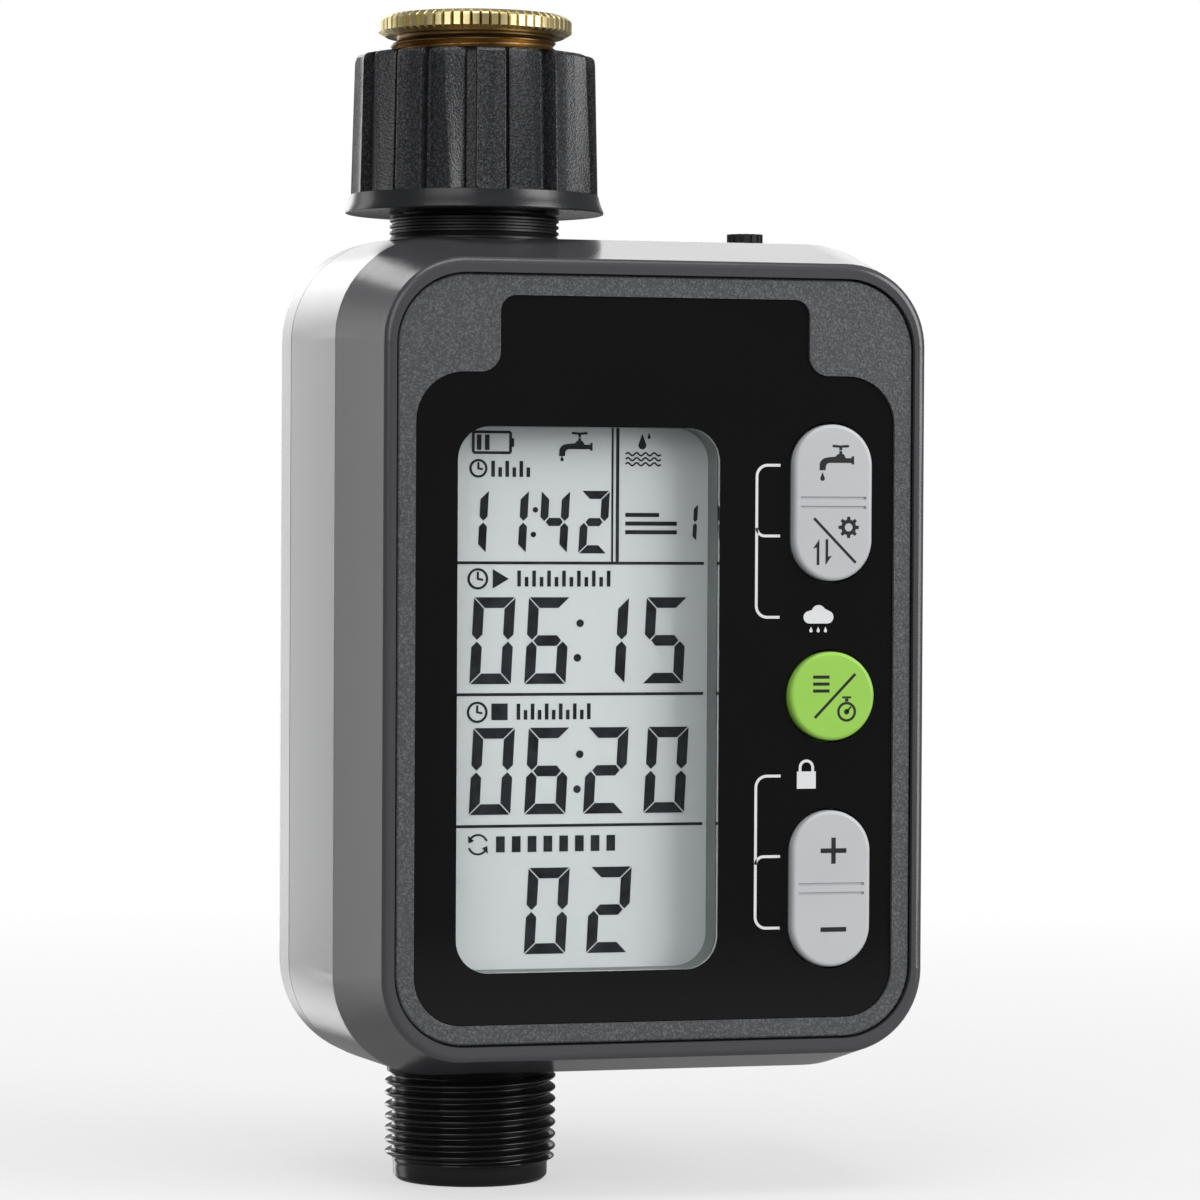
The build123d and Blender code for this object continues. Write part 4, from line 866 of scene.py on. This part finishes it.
def stroke_mark(points, width):
    """Line of even width along points."""
    left, right = [], []
    for place, point in enumerate(points):
        before = Vector(points[max(place - 1, 0)])
        after = Vector(points[min(place + 1, len(points) - 1)])
        here = Vector(point)
        into = (here - before).normalized() if place else (after - here).normalized()
        out = (after - here).normalized() if place < len(points) - 1 else into
        middle = (into + out).normalized()
        reach = width / 2 / max(0.35, middle.dot(into))
        side = Vector((-middle.y, middle.x)) * reach
        left.append(tuple(here + side))
        right.append(tuple(here - side))
    return left + right[::-1]


def shifted(outlines, x, z, scale=1.0):
    """Outlines scaled, then moved."""
    return [[(x + scale * px, z + scale * pz) for px, pz in outline] for outline in outlines]


def mark_piece(name, outlines, front, thick, finish, body, facing=-1.0):
    """Thin prisms with the given outlines. front is the depth of their face, facing the way they look."""
    verts, faces = [], []
    for outline in outlines:
        start, count = len(verts), len(outline)
        verts += [(x, front, z) for x, z in outline]
        verts += [(x, front - facing * thick, z) for x, z in outline]
        faces.append(tuple(range(start, start + count)))
        faces.append(tuple(range(start + 2 * count - 1, start + count - 1, -1)))
        for k in range(count):
            after = (k + 1) % count
            faces.append((start + k, start + count + k, start + count + after, start + after))
    piece = finish_mesh(name, verts, faces, finish, sharp=20.0)
    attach(piece, body)
    return piece


# %% [markdown]
# ## What the display shows
# Each figure is made of seven segments with mitred ends and thin gaps, all leaning three degrees.
# The same rule draws every figure, so only a table of lit segments and a list of places is
# needed. Small pictures take the place of words: a clock face for the time now, a start flag, a
# stop square and a pair of turning arrows for the repeats.

# %% Seven-segment rule
LEAN = math.tan(math.radians(3.0))
LIT = {"0": "abcdef", "1": "bc", "2": "abged", "4": "fgbc", "5": "afgcd", "6": "afgedc"}


def segments(wide, tall, stroke, gap):
    """Outlines of the seven segments of a figure, from its lower left corner."""
    s, g, h, w, m = stroke, gap, tall, wide, tall / 2
    return {
        "a": [(g, h), (w - g, h), (w - s - g, h - s), (s + g, h - s)],
        "d": [(s + g, s), (w - s - g, s), (w - g, 0.0), (g, 0.0)],
        "g": [(s / 2 + 2 * g, m), (s + g, m + s / 2), (w - s - g, m + s / 2), (w - s / 2 - 2 * g, m),
              (w - s - g, m - s / 2), (s + g, m - s / 2)],
        "f": [(0.0, h - g), (s, h - s - g), (s, m + s / 2 + g), (s / 2, m + g), (0.0, m + s / 2 + g)],
        "b": [(w, h - g), (w, m + s / 2 + g), (w - s / 2, m + g), (w - s, m + s / 2 + g), (w - s, h - s - g)],
        "e": [(0.0, g), (0.0, m - s / 2 - g), (s / 2, m - g), (s, m - s / 2 - g), (s, s + g)],
        "c": [(w, g), (w - s, s + g), (w - s, m - s / 2 - g), (w - s / 2, m - g), (w, m - s / 2 - g)],
    }


def figure(sign, left, low, wide, tall, stroke, gap=0.13):
    """Lit segments of one figure, leaning."""
    shapes = segments(wide, tall, stroke, gap)
    middle = tall / 2
    return [[(left + x + (z - middle) * LEAN, low + z) for x, z in shapes[part]] for part in LIT[sign]]


# %% Small pictures


def drop_outline(x, z, radius, tall):
    """Falling drop: round below, pointed above."""
    return arc(x, z, radius, 150.0, 390.0, 16) + [(x, z + tall)]


def tap_outlines():
    """Side view of a tap, one unit wide, spout on the left."""
    body = [(1.0, 0.40), (1.0, 0.62), (0.93, 0.62), (0.93, 0.57), (0.76, 0.57), (0.72, 0.66), (0.66, 0.69),
            (0.66, 0.76), (0.58, 0.76), (0.58, 0.69), (0.52, 0.66), (0.48, 0.61), (0.28, 0.59)]
    body += arc(0.24, 0.36, 0.22, 95.0, 170.0, 8) + [(0.02, 0.24), (0.19, 0.24), (0.20, 0.36)]
    body += [(0.24, 0.42), (0.32, 0.44), (0.93, 0.44), (0.93, 0.40)]
    handle = [(0.58, 0.78), (0.66, 0.78), (0.66, 0.85), (0.84, 0.86), (0.86, 0.89), (0.84, 0.93), (0.62, 0.91),
              (0.40, 0.93), (0.38, 0.89), (0.40, 0.86), (0.58, 0.85)]
    return [body, handle]


def wave_outline(x_low, x_high, z, height, waves, width):
    """Wavy line."""
    return stroke_mark([(x, z + height * math.sin(TURN * waves * (x - x_low) / (x_high - x_low)))
                        for x in spread(x_low, x_high, 12 * waves + 1)], width)


def clock_outlines(x, z, radius):
    """Clock face with two hands."""
    return band_mark(x, z, radius, radius - 0.36) + [
        stroke_mark([(x, z + 0.66 * radius), (x, z), (x + 0.5 * radius, z - 0.1 * radius)], 0.32)]


def turning_arrows(x, z, radius):
    """Two arrows chasing each other round a circle."""
    marks = []
    for start in (20.0, 200.0):
        marks += band_mark(x, z, radius, radius - 0.3, start, start + 118.0, 14)
        tip = math.radians(start + 152.0)
        base = math.radians(start + 118.0)
        inner, outer = radius - 0.78, radius + 0.48
        marks.append([(x + inner * math.cos(base), z + inner * math.sin(base)),
                      (x + outer * math.cos(base), z + outer * math.sin(base)),
                      (x + (radius - 0.15) * math.cos(tip), z + (radius - 0.15) * math.sin(tip))])
    return marks


# %% Draw the display
LCD_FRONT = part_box("lcd_glass")[0].y / MM
SCREEN_LEFT, SCREEN_RIGHT = -10.25, 29.7
DIVIDERS = (-83.86, -103.56, -123.28)


def time_row():
    """The top row: time, battery, tap, soil watering and mode cells."""
    marks = []
    for sign, left in zip("1142", (-8.6, -2.4, 4.0, 10.2)):
        marks += figure(sign, left, -82.4, 4.4, 9.4, 1.22)
    marks += [disc_mark(3.25, -75.9, 0.42), disc_mark(2.95, -79.6, 0.42)]
    marks += [box_mark(15.1, 15.4, DIVIDERS[0] + 0.23, -63.4), box_mark(15.8, 16.3, DIVIDERS[0] + 0.23, -63.4)]
    battery = [(-6.4, -67.4), (-0.65, -67.4), (-0.65, -64.3), (-6.4, -64.3), (-6.4, -67.4)]
    marks += [stroke_mark([battery[k], battery[k + 1]], 0.42) for k in range(4)]
    marks += [box_mark(-0.5, -0.1, -66.5, -65.2)] + [box_mark(x, x + 0.7, -67.0, -64.7) for x in (-5.85, -4.6)]
    marks += shifted(tap_outlines(), 6.8, -69.1, 5.3) + [drop_outline(7.35, -68.35, 0.26, 0.55)]
    marks += [drop_outline(19.9, -66.1, 0.62, 1.75), drop_outline(20.95, -64.9, 0.24, 0.7)]
    marks += [wave_outline(17.3, 22.8, z, 0.22, 4, 0.26) for z in (-67.45, -68.2, -68.95)]
    marks += figure("1", 26.6, -80.5, 2.0, 5.6, 0.62, gap=0.1)
    return marks


def ruler(x_low, x_high, z, tall, count):
    """Row of upright ticks, every second one short."""
    return [box_mark(x, x + 0.55, z, z + tall * (1.0 if k % 2 == 0 else 0.6))
            for k, x in enumerate(spread(x_low, x_high - 0.55, count))]


def label_row():
    """Small pictures and scales that stand for the row names."""
    marks = clock_outlines(-5.6, -69.75, 1.4)
    marks += ruler(-3.6, 2.4, -71.0, 2.4, 6)
    marks += clock_outlines(-5.6, -86.25, 1.6)
    marks += [[(-3.3, -87.7), (-3.3, -84.8), (-0.8, -86.25)]]
    marks += ruler(0.5, 15.0, -87.4, 2.4, 13)
    marks += clock_outlines(-5.6, -106.2, 1.6)
    marks += [box_mark(-3.4, -0.9, -107.4, -104.9)]
    marks += ruler(0.5, 12.0, -107.35, 2.4, 11)
    marks += turning_arrows(-5.4, -126.0, 1.6)
    marks += [box_mark(x, x + 1.35, -127.2, -124.8) for x in spread(-2.6, 14.6, 8)]
    marks += [box_mark(17.3, x, z, z + 0.62) for x, z in ((22.6, -76.9), (25.4, -78.2), (25.4, -79.5))]
    return marks


def main_rows():
    """The large start, end and repeat figures with their colons and dividers."""
    marks = [box_mark(SCREEN_LEFT, SCREEN_RIGHT, z - 0.22, z + 0.22) for z in DIVIDERS]
    rows = [("0615", (-6.5, 2.0, 11.2, 20.4), -102.0, 13.0), ("0620", (-6.5, 2.07, 11.26, 20.7), -121.56, 13.0),
            ("02", (2.14, 11.84), -142.55, 12.95)]
    for signs, lefts, low, tall in rows:
        for sign, left in zip(signs, lefts):
            marks += figure(sign, left, low, 6.4, tall, 1.6)
    for x, z in ((10.3, -92.9), (9.9, -98.1), (10.35, -112.6), (9.95, -117.85)):
        marks.append(disc_mark(x, z, 0.58))
    return marks


mark_piece("display_marks", time_row() + main_rows() + label_row(), LCD_FRONT - 0.05, 0.05, INK, "case")
print("display marks face depth", round(LCD_FRONT, 2))

# %% [markdown]
# ## Prints on the panel and the keys
# White lines on the dark panel group the keys with their second function: a cloud with rain for
# the rain delay and a padlock for the key lock. The keys carry black pictures: a tap, a gear with
# swap arrows, a menu with a stopwatch, plus and minus. Key prints ride on their own keys.

# %% Draw the panel print
PANEL_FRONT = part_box("display_panel")[0].y / MM
INK_THICK = 0.02


def bracket_outlines(x, x_end, top, middle, low, turn_down):
    """Bracket with rounded corners and a middle arm that branches off in a curve."""
    r = 1.7
    spine = [(x_end, top)] + arc(x + r, top - r, r, 90.0, 180.0, 8)
    spine += arc(x + r, low + r, r, 180.0, 270.0, 8) + [(x_end, low)]
    bend = 1.25
    if turn_down:
        arm = arc(x + bend, middle + bend, bend, 183.0, 270.0, 8)
    else:
        arm = arc(x + bend, middle - bend, bend, 177.0, 90.0, 8)
    return [stroke_mark(spine, 0.42), stroke_mark(arm + [(x_end, middle)], 0.42)]


def cloud_outlines(x, z):
    """Cloud with three drops below it."""
    cloud = arc(x - 1.35, z, 0.95, 270.0, 118.0, 12) + arc(x + 0.1, z + 0.72, 1.12, 160.0, 32.0, 12)
    cloud += arc(x + 1.5, z + 0.02, 0.97, 75.0, -90.0, 12)
    return [cloud] + [drop_outline(x + dx, z - 2.05, 0.25, 0.62) for dx in (-1.1, 0.05, 1.2)]


def padlock_outlines(x, z):
    """Closed padlock."""
    return [box_mark(x - 1.5, x + 1.5, z - 2.6, z)] + [
        stroke_mark([(x - 1.0, z), (x - 1.0, z + 0.55)] + arc(x, z + 0.6, 1.0, 180.0, 0.0, 14) + [(x + 1.0, z)], 0.42)]


panel_marks = bracket_outlines(36.1, 39.8, -69.0, -79.65, -91.9, True)
panel_marks += bracket_outlines(36.2, 40.1, -115.85, -128.0, -138.8, False)
panel_marks += cloud_outlines(45.9, -91.9) + padlock_outlines(44.2, -115.2)
mark_piece("panel_print", panel_marks, PANEL_FRONT - INK_THICK, INK_THICK, WHITE_PRINT, "case")

# %% Draw the key prints
KEY_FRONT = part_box("mode_key")[0].y / MM
PRINT_FACE = KEY_FRONT - INK_THICK


def gear_outlines(x, z, outer, root, inner, teeth):
    """Cog with a hole, as two halves."""
    halves = []
    for start in (0, 1):
        edge = []
        for k in range(teeth // 2 + 1):
            middle = 180.0 * start + 360.0 / teeth * k
            width = 360.0 / teeth
            for offset, radius in ((-0.30, root), (-0.18, outer), (0.18, outer), (0.30, root)):
                angle = middle + offset * width
                if 180.0 * start - 0.01 <= angle <= 180.0 * (start + 1) + 0.01:
                    edge += arc(x, z, radius, angle, angle, 1)[:1]
        edge = arc(x, z, outer, 180.0 * start, 180.0 * start, 1)[:1] + edge
        edge += arc(x, z, outer, 180.0 * (start + 1), 180.0 * (start + 1), 1)[:1]
        halves.append(edge + arc(x, z, inner, 180.0 * (start + 1), 180.0 * start, 16))
    return halves


def upper_key_marks():
    """Tap above, gear and swap arrows below."""
    marks = shifted(tap_outlines(), 45.4, -71.05, 5.6) + [drop_outline(46.0, -70.95, 0.36, 0.95)]
    marks.append(stroke_mark([(44.7, -76.95), (51.35, -83.65)], 0.42))
    marks += gear_outlines(50.2, -78.3, 1.62, 1.2, 0.62, 8)
    marks += [stroke_mark([(45.35, -84.0), (45.35, -81.2)], 0.42), [(44.55, -81.55), (45.56, -80.1), (45.56, -81.2)]]
    marks += [stroke_mark([(46.75, -80.1), (46.75, -82.9)], 0.42), [(47.55, -82.55), (46.54, -84.0), (46.54, -82.9)]]
    return marks


def mode_key_marks():
    """Menu lines, a slash and a stopwatch."""
    marks = [box_mark(44.7, 47.3, z - 0.24, z + 0.24) for z in (-100.9, -101.95, -103.0)]
    marks.append(stroke_mark([(45.0, -107.05), (51.4, -100.45)], 0.42))
    marks += band_mark(50.05, -106.15, 1.5, 1.12) + [disc_mark(50.05, -106.15, 0.42)]
    marks += [box_mark(49.78, 50.32, -104.6, -104.15), box_mark(49.35, 50.75, -104.12, -103.82)]
    marks.append(stroke_mark([(50.05, -106.15), (50.75, -105.4)], 0.26))
    return marks


def lower_key_marks():
    """Plus and minus."""
    return [box_mark(46.05, 47.75, -127.48, -126.78), box_mark(48.45, 50.15, -127.48, -126.78),
            box_mark(47.75, 48.45, -129.1, -125.16), box_mark(46.1, 50.2, -139.4, -138.7)]


for name, marks, body in (("upper_key_print", upper_key_marks(), "upper_key"),
                          ("mode_key_print", mode_key_marks(), "round_key"),
                          ("lower_key_print", lower_key_marks(), "lower_key")):
    mark_piece(name, marks, PRINT_FACE, INK_THICK, BLACK_PRINT, body)
print("key prints at depth", round(PRINT_FACE, 3))

# %% [markdown]
# ## Moulded marks on the back
# The shallow field on the rear cover carries a raised drop and an arrow that shows which way the
# water runs. They are part of the same moulding, so they share its material.

# %% Raise the flow marks
FIELD_FLOOR, MARK_RISE, FIELD_X = 24.6, 0.3, 20.45
flow_marks = [drop_outline(FIELD_X, -88.5, 4.4, 9.8), box_mark(FIELD_X - 1.5, FIELD_X + 1.5, -113.0, -98.0),
              [(FIELD_X - 4.8, -113.0), (FIELD_X, -120.5), (FIELD_X + 4.8, -113.0)]]
mark_piece("flow_marks", flow_marks, FIELD_FLOOR + MARK_RISE, MARK_RISE, COVER_GREY, "case", facing=1.0)
print("flow marks", len(flow_marks))

# %% [markdown]
# ## Geometry Nodes: growing parts by rule
# Screws and woven wires repeat, so they're grown by node trees with named inputs and a fixed
# seed. The result is turned into a plain mesh at once, and the modifier is gone before the piece
# joins its body, so nothing is left to change when the timer moves.

# %% Growing helpers


def growing_tree(name, inputs):
    """Empty geometry tree with the named inputs. Returns it with its input and output nodes."""
    tree = bpy.data.node_groups.new(name, "GeometryNodeTree")
    for label, kind in [("Geometry", "NodeSocketGeometry")] + inputs:
        tree.interface.new_socket(name=label, in_out="INPUT", socket_type=kind)
    tree.interface.new_socket(name="Geometry", in_out="OUTPUT", socket_type="NodeSocketGeometry")
    return tree, tree.nodes.new("NodeGroupInput"), tree.nodes.new("NodeGroupOutput")


def grow(name, tree, points, values):
    """Runs a geometry tree on points and returns the result as a plain mesh object."""
    seed_mesh = bpy.data.meshes.new(name + "_points")
    seed_mesh.from_pydata(points, [], [])
    seed = add_object(name + "_points", seed_mesh)
    modifier = seed.modifiers.new("grow", "NODES")
    modifier.node_group = tree
    for item in tree.interface.items_tree:
        if item.in_out == "INPUT" and item.name in values:
            modifier[item.identifier] = values[item.name]
    bpy.context.view_layer.update()
    grown = bpy.data.meshes.new_from_object(seed.evaluated_get(bpy.context.evaluated_depsgraph_get()))
    grown.name = name
    piece = add_object(name, grown)
    bpy.data.objects.remove(seed)
    return piece


def field(tree, operation, first, second=None):
    """Math node on two sockets or numbers."""
    node = put(tree, "ShaderNodeMath")
    node.operation = operation
    for socket, value in zip(node.inputs, (first, second)):
        if isinstance(value, bpy.types.NodeSocket):
            tree.links.new(value, socket)
        elif value is not None:
            socket.default_value = value
    return node.outputs[0]


# %% [markdown]
# ## Case screws
# Six pan-head screws close the case from behind, sunk in deep pockets. Each is driven by hand, so
# the cross recesses all stop at other angles: the tree turns every copy by a random amount, drawn
# from a fixed seed.

# %% Grow the case screws
SCREW_PLACES = ((-16.2, -43.9), (57.1, -43.9), (-19.2, -98.2), (60.0, -98.2), (-16.2, -152.5), (59.4, -149.2))
HEAD_LOW, HEAD_TOP, SCREW_TIP = 21.02, 23.1, -2.0


def screw_template():
    """Self-tapping pan-head screw along Z, tip at the origin."""
    tall = HEAD_TOP - SCREW_TIP
    under = HEAD_LOW - SCREW_TIP
    rows = [(0.0, 0.0), (0.6, 0.15), (1.0, 0.9)]
    rows += [thread_row(z, 1.12, 1.5, 15.0, 0.9, pitch=1.2, run_out=1.6) for z in spread(1.1, 14.8, 70)]
    rows += [(1.12, 15.2), (1.25, 16.0), (1.25, under - 0.2), (1.4, under), (2.6, under), (2.75, under + 0.12)]
    rows += [(2.8, under + 0.3), (2.8, under + 0.9), (2.7, tall - 0.75), (2.4, tall - 0.4), (1.9, tall - 0.15)]
    rows += [(1.2, tall - 0.03), (0.0, tall)]
    return ring_skin("screw_template", rows, 32, STEEL, sharp=35.0, closed=False)


def recess_template():
    """Cross-shaped driver recess, narrower at the bottom."""
    top, verts, faces = HEAD_TOP - SCREW_TIP, [], []
    for scale, z in ((0.62, top - 1.2), (1.06, top + 0.3)):
        a, b = 0.33 * scale, 1.45 * scale
        verts += [(x, y, z) for x, y in ((a, a), (a, b), (-a, b), (-a, a), (-b, a), (-b, -a), (-a, -a), (-a, -b),
                                         (a, -b), (a, -a), (b, -a), (b, a))]
    faces = [tuple(range(11, -1, -1)), tuple(range(12, 24))]
    faces += [(k, (k + 1) % 12, 12 + (k + 1) % 12, 12 + k) for k in range(12)]
    return finish_mesh("recess_template", verts, faces, STEEL)


def screw_tree():
    """Cuts the recess in the screw, stands a copy on each point and turns it."""
    tree, start, end = growing_tree("case_screw_rule", [
        ("Screw", "NodeSocketObject"), ("Recess", "NodeSocketObject"), ("Finish", "NodeSocketMaterial"),
        ("Seed", "NodeSocketInt")])
    cut = put(tree, "GeometryNodeMeshBoolean")
    cut.operation, cut.solver = "DIFFERENCE", "EXACT"
    for place, label in enumerate(("Screw", "Recess")):
        info = put(tree, "GeometryNodeObjectInfo")
        join(tree, (start, label, info, "Object"), (info, "Geometry", cut, place))
    stand = put(tree, "GeometryNodeInstanceOnPoints", Rotation=(math.radians(-90.0), 0.0, 0.0))
    chance = put(tree, "FunctionNodeRandomValue")
    chance.data_type = "FLOAT"
    least, most = [i for i in chance.inputs if i.name in ("Min", "Max") and i.type == "VALUE" and i.enabled]
    least.default_value, most.default_value = 0.0, TURN / 4
    spin = put(tree, "ShaderNodeCombineXYZ")
    turn = put(tree, "GeometryNodeRotateInstances", Local_Space=True)
    real = put(tree, "GeometryNodeRealizeInstances")
    dress = put(tree, "GeometryNodeSetMaterial")
    value = next(o for o in chance.outputs if o.type == "VALUE" and o.enabled)
    join(tree, (start, "Seed", chance, "Seed"), (start, "Geometry", stand, "Points"),
         (cut, "Mesh", stand, "Instance"))
    tree.links.new(value, spin.inputs["Z"])
    join(tree, (stand, "Instances", turn, "Instances"), (spin, 0, turn, "Rotation"),
         (turn, "Instances", real, "Geometry"), (real, "Geometry", dress, "Geometry"),
         (start, "Finish", dress, "Material"), (dress, "Geometry", end, "Geometry"))
    return tree


templates = screw_template(), recess_template()
screws = grow("pan_head_screws", screw_tree(), [(x * MM, SCREW_TIP * MM, z * MM) for x, z in SCREW_PLACES],
              {"Screw": templates[0], "Recess": templates[1], "Finish": STEEL, "Seed": 7})
for template in templates:
    bpy.data.objects.remove(template)
screws.data.set_sharp_from_angle(angle=math.radians(35.0))
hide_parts("case_screws")
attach(screws, "case")
print("case screws faces", len(screws.data.polygons))

# %% [markdown]
# ## Inlet strainer
# A small cup clamped under the washer keeps grit out of the valve. Its bottom is woven wire. The
# weave is one formula: every wire goes up and down as the product of two cosines, one along and
# one across, and the second set of wires is the first one laid over, so the two interlock.

# %% Weave the strainer
MESH_PITCH, MESH_HALF, MESH_Z, WIRE = 0.9, 6.6, -26.9, 0.09


def weave_tree():
    """Wires over a disc, each on one of a row of points, waved up and down, then crossed."""
    tree, start, end = growing_tree("weave_rule", [
        ("Pitch", "NodeSocketFloat"), ("Radius", "NodeSocketFloat"), ("Wire", "NodeSocketFloat"),
        ("Finish", "NodeSocketMaterial")])
    place = put(tree, "GeometryNodeInputPosition")
    split = put(tree, "ShaderNodeSeparateXYZ")
    join(tree, (place, 0, split, 0))
    reach = field(tree, "SUBTRACT", field(tree, "MULTIPLY", start.outputs["Radius"], start.outputs["Radius"]),
                  field(tree, "MULTIPLY", split.outputs["Y"], split.outputs["Y"]))
    scale = put(tree, "ShaderNodeCombineXYZ", Y=1.0, Z=1.0)
    tree.links.new(field(tree, "SQRT", reach), scale.inputs["X"])
    line = put(tree, "GeometryNodeCurvePrimitiveLine", Start=(-1.0, 0.0, 0.0), End=(1.0, 0.0, 0.0))
    stand = put(tree, "GeometryNodeInstanceOnPoints")
    real = put(tree, "GeometryNodeRealizeInstances")
    fine = put(tree, "GeometryNodeResampleCurve", Count=72)
    wave = field(tree, "MULTIPLY", field(tree, "MULTIPLY", start.outputs["Wire"], 1.05), field(
        tree, "MULTIPLY", *(field(tree, "COSINE", field(tree, "MULTIPLY", math.pi, field(
            tree, "DIVIDE", split.outputs[axis], start.outputs["Pitch"]))) for axis in ("X", "Y"))))
    lift = put(tree, "ShaderNodeCombineXYZ")
    tree.links.new(wave, lift.inputs["Z"])
    move = put(tree, "GeometryNodeSetPosition")
    ring = put(tree, "GeometryNodeCurvePrimitiveCircle", Resolution=8)
    tube = put(tree, "GeometryNodeCurveToMesh", Fill_Caps=True)
    cross = put(tree, "GeometryNodeTransform", Rotation=(math.pi, 0.0, math.pi / 2))
    both = put(tree, "GeometryNodeJoinGeometry")
    real_again = put(tree, "GeometryNodeRealizeInstances")
    dress = put(tree, "GeometryNodeSetMaterial")
    join(tree, (start, "Geometry", stand, "Points"), (line, 0, stand, "Instance"), (scale, 0, stand, "Scale"),
         (stand, 0, real, 0), (real, 0, fine, "Curve"), (fine, 0, move, "Geometry"), (lift, 0, move, "Offset"),
         (move, 0, tube, "Curve"), (start, "Wire", ring, "Radius"), (ring, 0, tube, "Profile Curve"),
         (tube, 0, cross, "Geometry"), (tube, 0, both, 0), (cross, 0, both, 0), (both, 0, real_again, 0),
         (real_again, 0, dress, "Geometry"), (start, "Finish", dress, "Material"), (dress, 0, end, "Geometry"))
    return tree


wires = grow("strainer_weave", weave_tree(), [(0.0, k * MESH_PITCH * MM, 0.0) for k in range(-7, 8)],
             {"Pitch": MESH_PITCH * MM, "Radius": MESH_HALF * MM, "Wire": WIRE * MM, "Finish": STRAINER_STEEL})
wires.data.transform(Matrix.Translation((0.0, 0.0, MESH_Z * MM)))
shade(wires.data, 60.0)
CUP = [(11.6, -19.28), (11.7, -19.18), (11.7, -18.9), (11.6, -18.8), (6.7, -18.8), (6.5, -19.0), (6.5, -26.5),
       (6.1, -26.5), (6.0, -26.6), (6.0, -27.2), (6.1, -27.3), (7.1, -27.3), (7.3, -27.1), (7.3, -19.5), (7.5, -19.28)]
cup = ring_skin("strainer_cup", CUP, 96, STRAINER_STEEL, sharp=30.0)
for piece in (wires, cup):
    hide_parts("filter_screen")
    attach(piece, "case")
print("strainer faces", len(wires.data.polygons), len(cup.data.polygons))

# %% [markdown]
# ## Battery cells
# Two round cells lie head to tail in the drawer. Each is a steel can in a printed sleeve that is
# shrunk over both shoulders, so the sleeve stands a little proud and its ends are rounded.

# %% Make the battery cells
CELL_RADIUS, CELL_LOW, CELL_HIGH = 7.1, -156.1, -106.1
SLEEVE = moulded("cell_sleeve", rgb(34, 74, 66), rgb(30, 68, 60), (0.16, 0.24), grain=0.8, depth=0.003, patch=6.0)
SLEEVE_BAND = moulded("cell_band", rgb(186, 190, 192), rgb(178, 183, 186), (0.18, 0.26), grain=0.8, depth=0.003)
BAND_START, BARE_RADIUS = 41.0, 6.3


def battery_cell(name, x, head_up):
    """One cell, turned head up or head down."""
    def height(z):
        return CELL_LOW + z if head_up else CELL_HIGH - z
    rows = [(0.0, 0.05), (5.5, 0.05), (5.75, 0.2), (6.2, 0.2), (6.35, 0.05), (6.7, 0.0), (7.0, 0.12),
            (CELL_RADIUS, 0.4), (CELL_RADIUS, 20.0), (CELL_RADIUS, BAND_START), (CELL_RADIUS, 49.5), (7.0, 49.82),
            (6.75, 49.96), (6.4, 49.98), (6.2, 49.8), (6.0, 49.6), (3.1, 49.6), (2.8, 49.7), (2.6, 49.95), (2.6, 50.6), (2.45, 50.78), (0.0, 50.8)]
    cell = ring_skin(name, [(r, height(z)) for r, z in rows], 64, SLEEVE, sharp=40.0, closed=False)
    cell.data.materials.append(SLEEVE_BAND)
    cell.data.materials.append(STEEL)
    for face in cell.data.polygons:
        corners = [cell.data.vertices[v].co for v in face.vertices]
        middle = sum(corners, Vector()) / len(corners)
        along = middle.z / MM - CELL_LOW if head_up else CELL_HIGH - middle.z / MM
        if max(math.hypot(c.x, c.y) for c in corners) / MM < BARE_RADIUS:
            face.material_index = 2
        elif along > BAND_START:
            face.material_index = 1
    cell.data.transform(Matrix.Translation((x * MM, -0.2 * MM, 0.0)))
    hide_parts("battery_cells")
    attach(cell, "drawer")
    return cell


for name, x, head_up in (("left_cell", 30.84, True), ("right_cell", 45.16, False)):
    print(name, "faces", len(battery_cell(name, x, head_up).data.polygons))
